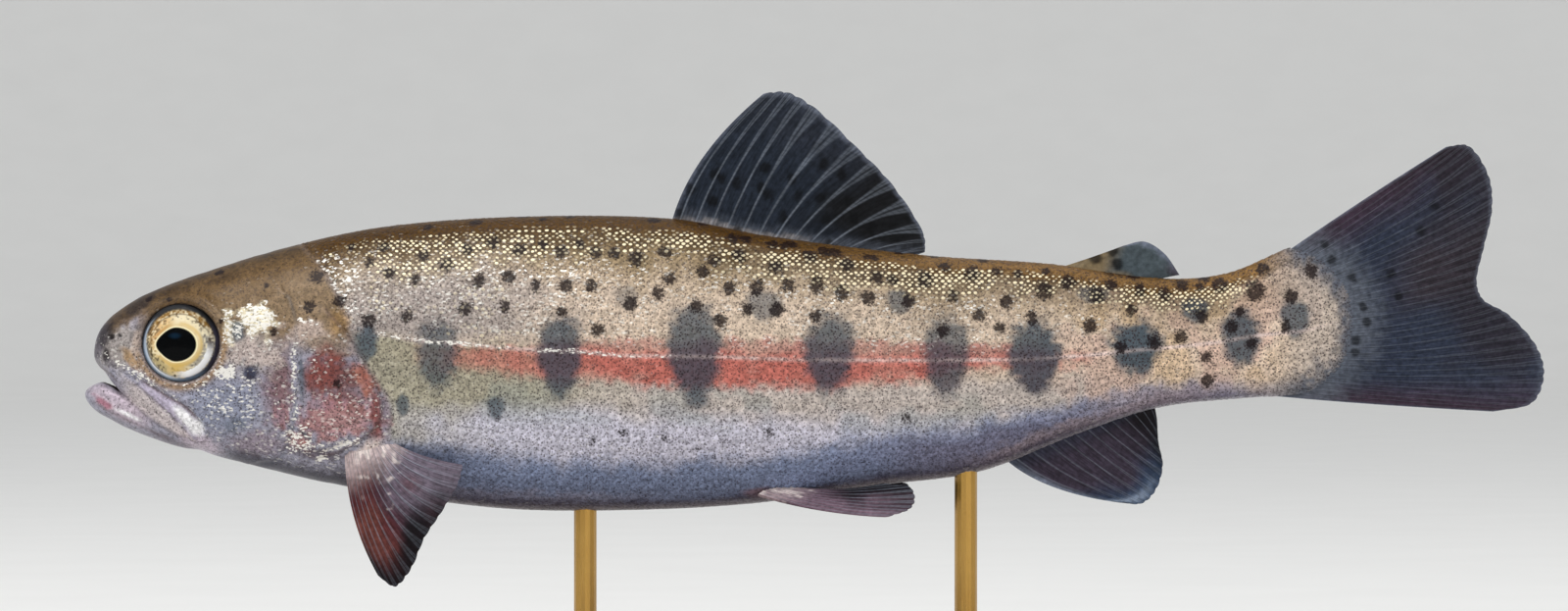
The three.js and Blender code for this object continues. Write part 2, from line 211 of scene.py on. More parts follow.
def setInPlace(piece):
    # from the fish's own millimetres to metres in the shared frame
    points = readPoints(piece) - [fishPlace["length"] / 2, 0, -fishPlace["axisHeight"]]
    writePoints(piece, points / 1000)


def countTriangles(piece):
    sizes = np.zeros(len(piece.data.polygons), int)
    piece.data.polygons.foreach_get("loop_total", sizes)
    return int((sizes - 2).sum())


# The body's lines, in the side view and from above.
bodyShape = {
    "snout": 0.9, "frontRound": 2.0, "tailBow": 115.4, "end": 122.3,
    "back": [(0.9, 3.0), (2.2, 3.2), (4.1, 4.45), (6, 5.5), (10.7, 7.3), (20, 10.1), (29.5, 12), (43, 12.9),
             (56.6, 12.65), (65.5, 11.05), (80.3, 9.2), (92.5, 8.35), (103.5, 6.95), (109.5, 7.45),
             (115.4, 9.9)],
    "belly": [(0.9, -1.9), (2, -2.25), (4, -4.2), (6.9, -6.9), (11, -9.4), (15.4, -10.75), (24.8, -12.9),
              (38.9, -14.95), (50, -15.25), (63.8, -14.6), (76.5, -12.8), (85.9, -11.5), (95.3, -7.9),
              (103, -5.4), (111.7, -4.45), (115.4, -4.3)],
    "widest": [(0.9, -0.3), (4, -0.9), (9, -2.2), (20, -3.4), (28, -2.6), (40, -1.5), (80, -0.6),
               (105, 0.9), (122.3, 3)],
    "halfWidth": [(0.9, 2.7), (2.2, 2.9), (6, 3.9), (13, 5.35), (24, 6.7), (34, 7.1), (48, 7.2), (60, 6.75),
                  (80, 5.1), (100, 3), (112, 1.9), (118, 1.15), (122.3, 0.7)],
    "topPower": [(0.9, 2), (9, 2.3), (30, 2.05), (60, 1.9), (122.3, 2)],
    "bottomPower": [(0.9, 2.2), (5, 3), (12, 2.4), (40, 2.1), (122.3, 2)],
    "scaleBed": 0.15,  # the skin lies this far inside, under the scales
}
jawShape = {
    "tip": 0.0, "end": 14.0, "frontRound": 1.9, "endRound": 0.6,
    "back": [(0, -3.1), (2.5, -3), (4, -3.9), (9, -7.4), (14, -8.2)],
    "belly": [(0, -5.4), (2.2, -6.4), (4.1, -7.4), (8.8, -9.1), (12, -9.5), (14, -9.2)],
    "widest": [(0, -4.1), (4, -5), (14, -8.7)],
    "halfWidth": [(0, 1.7), (2, 2.2), (6, 3.1), (10, 3.8), (14, 3.4)],
    "topPower": [(0, 2.2), (14, 2.6)],
    "bottomPower": [(0, 2), (14, 2.2)],
}
gape = {"along": 5, "up": -4.5, "reach": 4.6, "half": 1.9, "rise": 0.85, "slope": 0.62}
lateralLine = lineThrough([
    (26, 1.75), (28, 1.63), (32, 1.03), (36.9, 0.66), (41.7, 0.19), (47.7, -0.06), (51.2, -0.41),
    (60.7, -0.56), (68.9, -0.83), (89.2, -0.82), (96.1, -0.41), (100.6, 0.05), (106.1, 0.56), (109, 0.91),
    (113, 1.56), (117.1, 1.99), (121.5, 3.2)])

lineNames = ["back", "belly", "widest", "halfWidth", "topPower", "bottomPower"]
bodyLines = {name: lineThrough(bodyShape[name]) for name in lineNames}
jawLines = {name: lineThrough(jawShape[name]) for name in lineNames}


def endShare(along, front, frontRound, rear, rearRound):
    # how much of its full size a section has near a round end
    ahead = np.clip(1 - (along - front) / frontRound, 0, 1)
    behind = np.clip(1 - (rear - along) / rearRound, 0, 1)
    return np.sqrt(1 - ahead ** 2) * np.sqrt(1 - behind ** 2)


def bodyShare(along):
    rearRound = bodyShape["end"] - bodyShape["tailBow"]
    return endShare(along, bodyShape["snout"], bodyShape["frontRound"], bodyShape["end"], rearRound)


def jawShare(along):
    return endShare(along, jawShape["tip"], jawShape["frontRound"], jawShape["end"], jawShape["endRound"])


def surfacePoint(lines, along, turn, share):
    # a point of the skin: turn 0 is the back, a quarter turn is the left flank
    middle = lines["widest"](along)
    rise, side = np.cos(turn), np.sin(turn)
    power = np.where(rise > 0, lines["topPower"](along), lines["bottomPower"](along))
    height = np.where(rise > 0, lines["back"](along) - middle, middle - lines["belly"](along)) * share
    up = middle + np.sign(rise) * np.abs(rise) ** (2 / power) * height
    out = -np.sign(side) * np.abs(side) ** (2 / power) * lines["halfWidth"](along) * share
    return np.stack([along + 0 * up, out, up], axis=-1)


# A map of the body's skin: along it, and round it by the reach in millimetres above the lateral line.
girthSteps = {"along": 260, "round": 260}


def makeGirthMap():
    along = np.linspace(bodyShape["snout"] + 0.2, bodyShape["end"] - 0.1, girthSteps["along"])
    turns = np.linspace(0, np.pi, girthSteps["round"])
    rings = surfacePoint(bodyLines, along[:, None], turns[None], bodyShare(along)[:, None])
    steps = np.linalg.norm(np.diff(rings, axis=1), axis=2)
    arcs = np.concatenate([np.zeros((len(along), 1)), np.cumsum(steps, axis=1)], axis=1)
    shares = np.linspace(-1, 1, girthSteps["round"])
    girth = {"along": along, "above": np.zeros(len(along)), "below": np.zeros(len(along)), "turns": []}
    for i, (ring, arc) in enumerate(zip(rings, arcs)):
        lineArc = np.interp(-lateralLine(along[i]), -ring[:, 2], arc)
        girth["above"][i] = lineArc
        girth["below"][i] = arc[-1] - lineArc
        reach = np.where(shares > 0, shares * lineArc, shares * (arc[-1] - lineArc))
        girth["turns"].append(np.interp(lineArc - reach, arc, turns))
    girth["turns"] = np.array(girth["turns"])
    return girth


girth = makeGirthMap()


def roundBody(along, reach, side):
    # points of the skin and their outward directions, also across the middle of the back and belly
    station = np.interp(along, girth["along"], np.arange(len(girth["along"])))
    station = np.clip(station, 0, len(girth["along"]) - 1.001)
    above = np.interp(along, girth["along"], girth["above"])
    below = np.interp(along, girth["along"], girth["below"])
    share = np.where(reach > 0, reach / above, reach / below)
    over = np.abs(share) > 1
    share = np.clip(np.where(over, np.sign(share) * 2 - share, share), -1, 1)
    side = np.where(over, -side, side)
    step = np.clip((share + 1) / 2 * (girthSteps["round"] - 1), 0, girthSteps["round"] - 1.001)
    i, j = station.astype(int), step.astype(int)
    s, t = station - i, step - j
    turns = girth["turns"]
    turn = (turns[i, j] * (1 - t) + turns[i, j + 1] * t) * (1 - s)
    turn += (turns[i + 1, j] * (1 - t) + turns[i + 1, j + 1] * t) * s

    def place(along, turn):
        return surfacePoint(bodyLines, along, turn, bodyShare(along))

    points = place(along, turn)
    lengthwise = place(along + 0.05, turn) - place(along - 0.05, turn)
    roundwise = place(along, turn + 0.02) - place(along, turn - 0.02)
    normals = np.cross(lengthwise, roundwise)
    middle = np.stack([along, 0 * along, bodyLines["widest"](along)], axis=-1)
    normals *= np.sign((normals * (points - middle)).sum(axis=-1))[..., None]
    normals /= np.linalg.norm(normals, axis=-1)[..., None] + 1e-9
    mirror = np.stack([1 + 0 * along, -side, 1 + 0 * along], axis=-1)
    return points * mirror, normals * mirror


# The skin: body, jaw and mouth in one closed mesh, with the head's relief.
skinMake = {
    "bodyMesh": (160, 300), "jawMesh": (96, 120), "hollowMesh": (48, 32),  # segments and rings
    "voxel": 0.175, "smoothing": 6, "headEnd": 31.0, "trunkKeep": 0.12,
}


def roundedForm(name, lines, ends, shareOf, meshSize):
    # a sphere drawn out along the fish's lines
    bpy.ops.mesh.primitive_uv_sphere_add(segments=meshSize[0], ring_count=meshSize[1], radius=1)
    form = bpy.context.object
    form.name = name
    unit = readPoints(form)
    step = np.arccos(np.clip(unit[:, 2], -1, 1)) / np.pi
    crowd = 0.9 * np.sin(2 * np.pi * step) / (2 * np.pi)  # closer rings at both round ends
    front, rear = ends
    along = np.clip(front + (rear - front) * (step - crowd), front, rear)
    writePoints(form, surfacePoint(lines, along, np.arctan2(unit[:, 1], unit[:, 0]), shareOf(along)))
    turnOutwards(form)
    return form


def mouthHollow():
    segments, rings = skinMake["hollowMesh"]
    bpy.ops.mesh.primitive_uv_sphere_add(segments=segments, ring_count=rings, radius=1)
    hollow = bpy.context.object
    points = readPoints(hollow) * [gape["reach"], gape["half"], gape["rise"]]
    c, s = math.cos(gape["slope"]), math.sin(gape["slope"])
    turned = points @ np.array([[c, 0, -s], [0, 1, 0], [s, 0, c]])
    writePoints(hollow, turned + [gape["along"], 0, gape["up"]])
    return hollow


def insideMouth(points):
    # 1 deep in the mouth, 0 outside it
    c, s = math.cos(gape["slope"]), math.sin(gape["slope"])
    here = (points - [gape["along"], 0, gape["up"]]) @ np.array([[c, 0, s], [0, 1, 0], [-s, 0, c]])
    gap = np.linalg.norm(here / [gape["reach"], gape["half"], gape["rise"]], axis=1)
    return ease(-gap, -1.3, -1.05)


# Lines of the head in the side view, as (along, up).
headPaths = {
    "maxillaLower": [(1.9, -2.35), (2.61, -3.05), (4.18, -4.77), (6.58, -6.71), (8.69, -7.99),
                     (9.95, -8.45)],
    "maxillaUpper": [(2.9, -1.5), (4.33, -2.67), (6.13, -4.16), (7.78, -5.67), (8.98, -6.86), (10.1, -8.0)],
    "cheekFold": [(4.9, -2.35), (5.84, -2.92), (7.78, -4.16), (9.73, -5.3), (11.0, -6.6), (11.3, -7.6),
                  (10.9, -8.3)],
    "preopercle": [(19.3, 5.0), (19.9, 3.1), (20.05, 0.5), (20.07, -2.2), (19.9, -5.1), (19.5, -8.1),
                   (18.4, -10.2), (16.5, -10.6)],
    "coverRear": [(22.6, 4.6), (24.58, 2.44), (26.08, 0.47), (27.5, -2.16), (28.5, -5.08), (28.1, -7.05),
                  (26.1, -8.74), (24.4, -9.7), (21.5, -10.5)],
    "subCover": [(20.1, -7.9), (23, -7.6), (26, -6.9), (28.2, -6.2)],
    "lip": [(0.1, -4.45), (2.4, -5.75), (5.4, -7.15), (8.4, -8.45)],
    "upperLip": [(0.7, -0.9), (1.5, -1.45), (2.3, -2.1), (3.4, -3.2)],
    "orbitFold": [(3.9, -1.3), (5.2, -2.7), (7.0, -3.85), (9.4, -4.3), (12, -3.9), (13.8, -2.3),
                  (14.4, -0.4)],
}
for name, points in headPaths.items():
    headPaths[name] = curveAt(points, np.linspace(0, len(points) - 1, 80))
eyePlace = {"along": 9.2, "up": 0.75, "radius": 3.95, "rim": 3.85}
nostril = {"along": 2.55, "up": 1.35, "radius": 0.3, "second": (3.3, 1.5), "secondRadius": 0.2}


def sideDistance(name, along, up):
    # distance from a head line in the side view, positive on its right hand when walking along it
    path = headPaths[name]
    here = np.column_stack([along, up])
    gap = np.linalg.norm(here[:, None] - path[None], axis=2)
    near = gap.argmin(1)
    forward = np.gradient(path, axis=0)[near]
    offset = here - path[near]
    side = np.sign(forward[:, 1] * offset[:, 0] - forward[:, 0] * offset[:, 1])
    return side * gap[np.arange(len(near)), near]


def ridge(distance, width):
    return np.exp(-(distance / width) ** 2)


def maxillaPlate(along, up):
    lower = sideDistance("maxillaLower", along, up)
    upper = sideDistance("maxillaUpper", along, up)
    lengthwise = ease(along, 1.6, 3.2) * ease(-along, -11, -10.3)
    return ease(-lower, -0.05, 0.3) * ease(upper, -0.05, 0.3) * lengthwise


def headRelief(points):
    # how far the skin of the head stands out, in millimetres, from bone edges, folds and rims
    along, out, up = seenFromSide(points).T
    flank = ease(np.abs(out), 0.6, 1.8)
    height = 0.26 * maxillaPlate(along, up) * flank
    upper = sideDistance("maxillaUpper", along, up)
    height -= 0.2 * ridge(upper + 0.12, 0.24) * ease(along, 3.2, 4.6) * ease(-along, -10.6, -9.6) * flank
    fold = sideDistance("cheekFold", along, up)
    height += 0.18 * ridge(fold + 0.32, 0.34) * flank
    height -= 0.18 * ridge(fold - 0.12, 0.22) * flank
    height += 0.1 * ridge(np.hypot(along - 10.2, up + 6.9), 0.9) * flank  # the pad behind the mouth
    eyeGap = np.hypot(along - eyePlace["along"], up - eyePlace["up"])
    height += 0.16 * ridge(eyeGap - eyePlace["rim"] - 0.28, 0.26) * flank
    height -= 0.1 * ridge(eyeGap - eyePlace["rim"] - 0.95, 0.4) * flank
    height -= 0.06 * ridge(sideDistance("orbitFold", along, up), 0.3) * flank
    cheek = sideDistance("preopercle", along, up)
    height += 0.13 * ease(cheek, -0.12, 0.22) * ease(-cheek, -2.6, -0.4) * flank  # the cheek's bone edge
    height -= 0.09 * ridge(cheek + 0.28, 0.2) * flank
    cover = sideDistance("coverRear", along, up)
    behind = ease(along, 19.6, 20.6)
    plate = 0.16 * ease(cover, -0.04, 0.16) + 0.16 * ease(cover, 0.5, 1.1) * ease(-up, -3.4, -1.5)
    height += plate * ease(-up, -5.0, -3.2) * behind * flank  # the gill cover and its soft rim
    shadow = np.exp(np.minimum(cover, 0) / 0.55) * (cover < 0.02) * ease(-up, -4.6, -2.4)
    height -= 0.26 * shadow * behind * flank
    height -= 0.06 * ridge(sideDistance("subCover", along, up), 0.22) * flank
    lip = sideDistance("lip", along, up)
    height -= 0.09 * ridge(lip, 0.2) * ease(-along, -9, -8) * flank
    height -= 0.08 * ridge(sideDistance("upperLip", along, up), 0.22) * ease(np.abs(out), 0.2, 0.8)
    for drop in (1.05, 1.75, 2.45):  # soft folds of the throat under the gill cover
        line = up - bodyLines["belly"](along) - drop
        height -= 0.07 * ridge(line, 0.2) * ease(along, 13, 16) * ease(-along, -26, -23) * flank
    nostrilGap = np.hypot(along - nostril["along"], up - nostril["up"])
    height += 0.07 * ridge(nostrilGap - nostril["radius"] - 0.14, 0.13) * flank
    height -= 0.4 * ease(-nostrilGap, -nostril["radius"], -0.12) * flank
    secondGap = np.hypot(along - nostril["second"][0], up - nostril["second"][1])
    height -= 0.3 * ease(-secondGap, -nostril["secondRadius"], -0.06) * flank
    height += 0.25 * ridge(np.hypot(along - 27.4, (up + 9.6) * 1.2), 1.9) * flank  # the side fin's shoulder
    height += 0.05 * (cloud(points, 1.1, 4) - 0.5) * ease(along, 3, 6)  # uneven skin over the bones
    return height


def eyePit(points):
    # the socket: how deep the skin sinks behind the eye
    along, out, up = seenFromSide(points).T
    eyeGap = np.hypot(along - eyePlace["along"], up - eyePlace["up"])
    return 1.5 * ease(-eyeGap, -eyePlace["rim"], -eyePlace["rim"] + 0.3) * (np.abs(out) > 1.2)


# Where scales grow: behind this line on the head side, and inside the bow at the tail.
scaleFront = lineThrough([(-15, 23.5), (-12.5, 26.5), (-10.5, 29.2), (-7.5, 29.3), (-5, 29.2), (-1.4, 26.9),
                          (1.3, 25.8), (3.85, 25.0), (6.4, 23.8), (8.6, 22.2), (10.3, 20.6), (12.5, 19.6)])
tailBow = {"along": 114.9, "up": 2.9, "radius": 7.0}


def tailGap(along, up):
    # distance beyond the rounded end of the flesh, in millimetres
    return np.hypot(along - tailBow["along"], up - tailBow["up"]) - tailBow["radius"]


def scaleCover(points):
    # 1 where the fish wears scales, 0 on the head and the tail fin
    along, out, up = points.T
    front = ease(along - scaleFront(up), -0.2, 1.0)
    rear = np.where(along > tailBow["along"], ease(-tailGap(along, up), -0.2, 0.8), 1)
    return front * rear


def makeSkin():
    bodyEnds, jawEnds = (bodyShape["snout"], bodyShape["end"]), (jawShape["tip"], jawShape["end"])
    body = roundedForm("skin", bodyLines, bodyEnds, bodyShare, skinMake["bodyMesh"])
    jaw = roundedForm("jawForm", jawLines, jawEnds, jawShare, skinMake["jawMesh"])
    hollow = mouthHollow()
    for form in (body, jaw):
        applyModifier(form, "BOOLEAN", operation="DIFFERENCE", object=hollow)
    bpy.data.objects.remove(hollow)
    activate(body)
    jaw.select_set(True)
    bpy.ops.object.join()
    applyModifier(body, "REMESH", mode="VOXEL", voxel_size=skinMake["voxel"])
    applyModifier(body, "SMOOTH", factor=0.5, iterations=skinMake["smoothing"])
    points = readPoints(body)
    onHead = points[:, 0] < skinMake["headEnd"] + 1
    relief = np.zeros(len(points))
    relief[onHead] = headRelief(points[onHead])
    relief -= bodyShape["scaleBed"] * scaleCover(points)
    points += readNormals(body) * relief[:, None]
    points[:, 1] -= np.sign(points[:, 1]) * eyePit(points)
    writePoints(body, points)
    activate(body)
    bpy.ops.object.mode_set(mode="EDIT")
    bpy.ops.mesh.select_all(action="DESELECT")
    bpy.ops.object.mode_set(mode="OBJECT")
    centres = np.zeros(len(body.data.polygons) * 3)
    body.data.polygons.foreach_get("center", centres)
    body.data.polygons.foreach_set("select", centres.reshape(-1, 3)[:, 0] > skinMake["headEnd"])
    bpy.ops.object.mode_set(mode="EDIT")
    bpy.ops.mesh.decimate(ratio=skinMake["trunkKeep"])
    bpy.ops.object.mode_set(mode="OBJECT")
    bpy.ops.object.shade_smooth()
    return body


# Markings. Every colour of the fish is a wash of one of these pigments.
pigments = {
    "flank": "#d3bea9", "frontFlank": "#ab9f98", "stem": "#dcc4ae", "lowFlank": "#c4b8b0",
    "sage": "#9f9a82", "lilac": "#cfccdc", "belly": "#8894b2", "bellyRear": "#797990",
    "bellyEdge": "#3d3a50", "underside": "#aeabb3", "olive": "#857150", "scaleGap": "#563f1e",
    "back": "#52370c", "stripe": "#c16f63", "line": "#e6cfc8", "parr": "#46545e", "parrLow": "#5a3a46",
    "spot": "#180b0e", "tailBase": "#b6aba1", "cheek": "#9a98a6", "cheekBlue": "#888da0",
    "tan": "#8a745a", "crown": "#6b5335", "crownDark": "#3a2c1e", "snoutPale": "#a39a94",
    "snoutDark": "#2b2628", "violet": "#5a5560", "peach": "#c5b0a2", "gold": "#a5814f",
    "creamGold": "#efe3c2", "silver": "#f4f2f3", "goldBack": "#846338", "mottle": "#89948f",
    "pinkGrey": "#a2949b", "halo": "#b98277", "stemGold": "#d4b283", "stemRose": "#cba79a",
    "lilacGrey": "#9b93a0", "teal": "#4c5a66", "inkBlue": "#34384c", "greyRose": "#88737c",
    "umber": "#6f413a", "brick": "#8a4034", "salmon": "#b0705c", "rose": "#b57b7e", "palePink": "#c99fa0",
    "lipPink": "#c6b6c1", "red": "#a5566a", "throat": "#5f525b", "shade": "#34333c",
    "tailFade": "#5b5f69", "maxilla": "#c6b9b6", "groove": "#c3b9cc", "crease": "#5b4744",
    "mouth": "#43282c", "socket": "#6b5a50", "jawGrey": "#85818b", "shoulder": "#cfbcb4",
}
pigments = {name: srgb(code) for name, code in pigments.items()}

# The tall parr marks as (along, up, length, height), and their strength.
parrMarks = [
    (26.9, 0.6, 2.2, 3.4, 0.6), (33.8, -0.4, 3.9, 6.4, 0.85), (45.5, -0.6, 3.9, 7.5, 1),
    (58.5, -0.4, 4.7, 9.2, 1), (71.4, -0.2, 4.9, 8.0, 1), (82.6, -0.5, 4.5, 7.6, 0.88),
    (90.9, -0.5, 4.7, 6.8, 1), (100.9, 0.1, 4.9, 4.9, 1), (110.9, 1.1, 3.4, 5.1, 0.9),
    (116.1, 3.1, 2.7, 3.6, 0.8), (65.1, 4.4, 3.4, 2.8, 0.7), (78.1, 4.6, 2.4, 2.4, 0.75),
    (52, 5.1, 2.2, 2.4, 0.45), (96.7, 5.4, 2.6, 1.8, 0.5), (106.5, 3.9, 2.5, 2.4, 0.8),
    (39.4, -5.6, 1.6, 2.3, 0.9), (30.5, -5.2, 1.3, 2.2, 0.9),
]
# Black spots as (along, up, size). The far side wears the same kind, each shifted a little.
spotMarks = [
    (25.6, 10, 0.8), (28.7, 10, 1), (27.3, 8.6, 0.9), (29.2, 7.5, 1.2), (32.5, 9.2, 1.1),
    (31.7, 6.8, 1.1), (34.7, 8.2, 1.3), (36.7, 9.8, 1.1), (39.2, 10.3, 1.3), (37.7, 6.9, 1.3),
    (36.5, 4, 1.2), (40.7, 7.2, 1.3), (41.7, 9.6, 1.3), (40.3, 4.2, 1.1), (43.9, 10.3, 0.9),
    (43.2, 6.3, 1.2), (45.7, 9.4, 1.3), (46.2, 6.4, 1.4), (45.8, 3.7, 1.0), (47.5, 10.3, 1.0),
    (49, 9.5, 1.3), (48.6, 6.3, 1.2), (49.2, 1.9, 1.2), (50.8, 9.4, 1.2), (52.9, 8.8, 1.5),
    (52.3, 4.7, 1.3), (54.9, 5.5, 1.2), (55.6, 9.4, 1.2), (56.1, 7, 1.2), (59.3, 7.7, 1.2),
    (60.4, 8.7, 1.3), (62.8, 9.2, 1.4), (58.7, 4.2, 1.2), (61.8, 6.1, 1.3), (61, 3, 1.2),
    (64.5, 6.2, 1.5), (66.3, 4, 1.3), (63.6, 3.9, 1.1), (66.2, 8, 1.3), (67.5, 6.3, 1.3),
    (70.2, 6.4, 1.6), (69.5, 9, 1.4), (72.6, 5.6, 1.5), (70, 3.2, 1.2), (73.1, 8.3, 1.4), (75.1, 5, 1.4),
    (76, 7.1, 1.4), (77.5, 6.8, 1.1), (79, 4.8, 1.2), (80.6, 6.9, 1.5), (82.5, 8, 1.2), (83.3, 5.3, 1.2),
    (85.1, 7.4, 1.6), (85.8, 3.6, 1.3), (82.3, 1.9, 1.2), (87.5, 7.6, 1.1), (88.4, 4.7, 1.3),
    (89.5, 7.4, 1.0), (90.8, 3.2, 1.2), (87.7, 2.2, 1.0), (92, 5.7, 1.6), (94.3, 6.5, 1.4),
    (97, 5.4, 1.5), (96.4, 2.5, 1.3), (99.3, 7.4, 1.6), (101.2, 5.9, 1.3), (100.4, 3.9, 1.1),
    (103.5, 5.4, 1.3), (102.6, 0.9, 1.3), (99.4, 0.4, 1.1), (105.1, 1.3, 1.2), (105.2, 6.4, 1.3),
    (107, 6.2, 1.0), (107.1, 3.4, 1.2), (108.9, 6.3, 1.5), (112.3, 5.8, 1.8), (110, 2.3, 1.2),
    (110.8, 3.7, 1.0), (111.9, 0.8, 1.1), (107.7, -2.9, 1.2), (107.6, -0.5, 1.0), (115.7, 5.2, 1.3),
    (115.2, 2.4, 1.1), (117.6, 7.6, 1.4), (119.7, 8.7, 0.6), (121.6, 7, 0.9), (122.6, 4.2, 1),
    (122.9, 2.8, 0.9), (122, 1, 0.85), (51.7, -7.8, 0.9), (55.6, -8.4, 0.7), (65.5, -7.7, 0.9),
    (78.8, -6.6, 1), (48.7, -8.7, 0.7), (58.9, -9.2, 0.7), (62.1, 10.9, 1.3), (63.3, 10.7, 1.1),
    (66, 10.2, 1.2), (67.1, 10, 1), (70.9, 9.6, 1.3), (72.1, 9.4, 1.1), (22.2, 7.1, 1.3),
    (21.5, 4.35, 1.1), (24.4, 4.75, 1.1), (17.4, 6.4, 0.6), (12.9, 7.5, 0.9), (6.1, 5, 0.7),
    (8.1, 4.9, 0.7), (18.1, 1.8, 0.8), (13.0, 2.9, 0.5), (27.2, 2.9, 1.2), (30.9, 3.4, 1.1),
    (24.3, -3.05, 0.9),
]
backSpots = {"from": 30, "to": 113, "count": 46, "spread": 2.9, "size": (0.8, 1.4)}

# Washes of the head as (pigment, along, up, half length, half height, strength, raggedness, slant).
headWashes = [
    ("crown", 15, 6.6, 8.5, 2.1, 0.6, 0.5, 18), ("crownDark", 13.6, 7.0, 1.5, 0.45, 0.45, 0.7, 15),
    ("snoutPale", 3.0, 0.8, 2.4, 2.6, 0.9, 0.3, 0), ("snoutDark", 3.7, 3.4, 3.0, 0.8, 0.7, 0.6, 32),
    ("crown", 4.6, 3.9, 3.4, 1.0, 0.7, 0.4, 32), ("crownDark", 5.0, 4.5, 2.6, 0.6, 0.5, 0.4, 35),
    ("violet", 1.2, 0.9, 0.8, 2.3, 0.85, 0.2, -12), ("snoutDark", 1.9, 1.6, 0.6, 1.2, 0.75, 0.5, -15),
    ("snoutDark", 5.0, 4.3, 2.2, 0.55, 0.6, 0.6, 35), ("peach", 4.85, 0.3, 0.5, 1.6, 0.75, 0.3, -8),
    ("snoutDark", 2.0, -0.4, 0.35, 0.62, 0.9, 0.3, 0), ("violet", 2.5, -1.2, 0.6, 0.4, 0.6, 0.4, -40),
    ("gold", 4.5, -0.9, 0.5, 1.3, 0.7, 0.4, 35), ("cheekBlue", 13.3, -5.4, 3.6, 2.7, 0.8, 0.3, 0),
    ("teal", 14.2, -7.1, 1.0, 0.7, 0.45, 0.7, 0), ("greyRose", 18.4, -3.0, 1.5, 4.2, 0.85, 0.4, 0),
    ("umber", 18.9, -3.6, 1.0, 3.2, 0.5, 0.6, 0), ("rose", 18.9, -6.2, 0.8, 1.2, 0.4, 0.8, 0),
    ("greyRose", 16.6, -8.9, 3.0, 1.2, 0.55, 0.5, 0), ("snoutPale", 16.2, -0.2, 2.8, 2.2, 0.85, 0.5, 0),
    ("shoulder", 16.4, -0.1, 2.3, 1.5, 0.6, 0.8, 0), ("creamGold", 16.3, 3.0, 1.5, 1.2, 0.9, 0.9, 0),
    ("creamGold", 13.75, 2.4, 0.5, 1.4, 0.65, 1.1, 0), ("creamGold", 17.6, 1.0, 0.5, 0.9, 0.5, 1.2, 0),
    ("teal", 14.7, 1.95, 0.7, 0.95, 0.85, 0.4, 0), ("inkBlue", 15.85, -2.1, 0.75, 0.75, 0.95, 0.15, 0),
    ("tan", 21.6, 4.2, 2.5, 1.2, 0.7, 0.4, 0), ("shoulder", 21.6, 1.9, 2.1, 1.3, 0.6, 0.6, 0),
    ("gold", 24.3, 2.7, 0.9, 1.5, 0.5, 0.6, -30), ("greyRose", 24.0, -3.8, 3.4, 4.0, 0.6, 0.3, 0),
    ("tan", 23.5, 0.5, 2.6, 0.9, 0.6, 0.5, -15), ("umber", 23.6, -2.6, 2.5, 2.0, 0.8, 0.5, 0),
    ("brick", 22.9, -1.9, 1.5, 2.2, 0.55, 0.45, -15), ("teal", 20.75, -2.7, 0.28, 2.4, 0.7, 0.4, 2),
    ("rose", 24.2, -6.2, 3.4, 2.1, 0.75, 0.5, 8), ("palePink", 24.9, -6.3, 2.6, 1.6, 0.95, 1.2, 15),
    ("umber", 23.6, -6.0, 3.0, 1.6, 0.4, 2.4, 20), ("umber", 25.5, -3.9, 1.9, 1.6, 0.55, 0.7, -30),
    ("salmon", 26.9, -3.1, 0.8, 2.0, 0.75, 0.5, 20), ("brick", 28.0, -6.1, 0.55, 2.3, 0.8, 0.4, 2),
    ("umber", 27.5, -8.0, 0.5, 0.7, 0.5, 0.5, -30), ("greyRose", 28.9, -6.0, 0.45, 2.2, 0.6, 0.3, 2),
    ("salmon", 20.6, -8.4, 1.0, 0.8, 0.5, 1.0, 20), ("teal", 21.2, -8.1, 0.9, 0.18, 0.8, 0.5, -38),
    # painted shade: the throat wash darkens the lower edge behind the gill cover
    ("throat", 22.5, -9.9, 3.4, 0.5, 0.6, 0.6, -8), ("teal", 27.1, 0.9, 0.95, 1.5, 0.75, 0.5, 0),
    ("shoulder", 27.6, -9.7, 1.3, 1.2, 0.9, 0.3, 0), ("lipPink", 11.0, -8.75, 2.4, 0.8, 0.7, 0.3, -20),
    ("lipPink", 3.2, -5.1, 3.4, 1.1, 0.9, 0.15, -32), ("red", 1.75, -4.95, 0.95, 0.35, 0.7, 0.5, -35),
    # painted shade: the throat wash darkens the lower edge under the jaw
    ("jawGrey", 3.6, -7.3, 4.2, 0.6, 0.65, 0.3, -28), ("throat", 8.6, -8.9, 2.6, 0.5, 0.6, 0.3, -25),
    # painted highlight: a silver streak along the lower jaw
    ("silver", 4.1, -6.1, 1.3, 0.2, 0.85, 0.3, -25),
]
# Painted glints over bright guanine patches as (along, up, half length, half height, amount, slant in
# degrees).
headGlitter = [
    (16.3, 3.0, 1.7, 1.4, 2.6, 0), (13.75, 2.3, 0.6, 1.7, 1.8, 0), (13.5, -2.1, 0.9, 0.6, 3.2, 20),
    (17.7, 0.8, 0.6, 1.2, 1.2, 0), (21.4, 2.9, 1.8, 0.4, 1.5, -10), (21.4, 1.6, 1.6, 0.9, 0.6, 0),
    (20.1, -2.4, 0.35, 1.9, 2.0, 3), (20.15, 0.2, 0.5, 1.3, 1.0, 0), (20.2, -5.6, 0.4, 1.6, 1.1, 0),
    (20.4, -8.5, 1.4, 1.1, 1.6, 0), (13.6, -4.2, 3.2, 3.2, 0.75, 0), (24.5, -5.8, 3.2, 2.2, 0.5, 0),
    (24.8, -8.95, 1.9, 0.3, 3.3, 17), (22.8, -10.25, 0.6, 0.22, 3.0, 10), (19.9, -8.2, 0.3, 0.9, 2.2, 0),
    (21.6, -9.3, 1.5, 0.25, 1.6, 12), (13.2, -5.0, 3.4, 2.6, 0.5, 0), (4.9, -2.2, 2.6, 0.4, 1.6, -32),
    (12.8, -1.0, 0.8, 1.8, 0.7, 0), (22.2, -1.2, 0.5, 0.4, 0.8, 0), (28.0, -9.6, 0.6, 0.9, 1.4, 40),
]
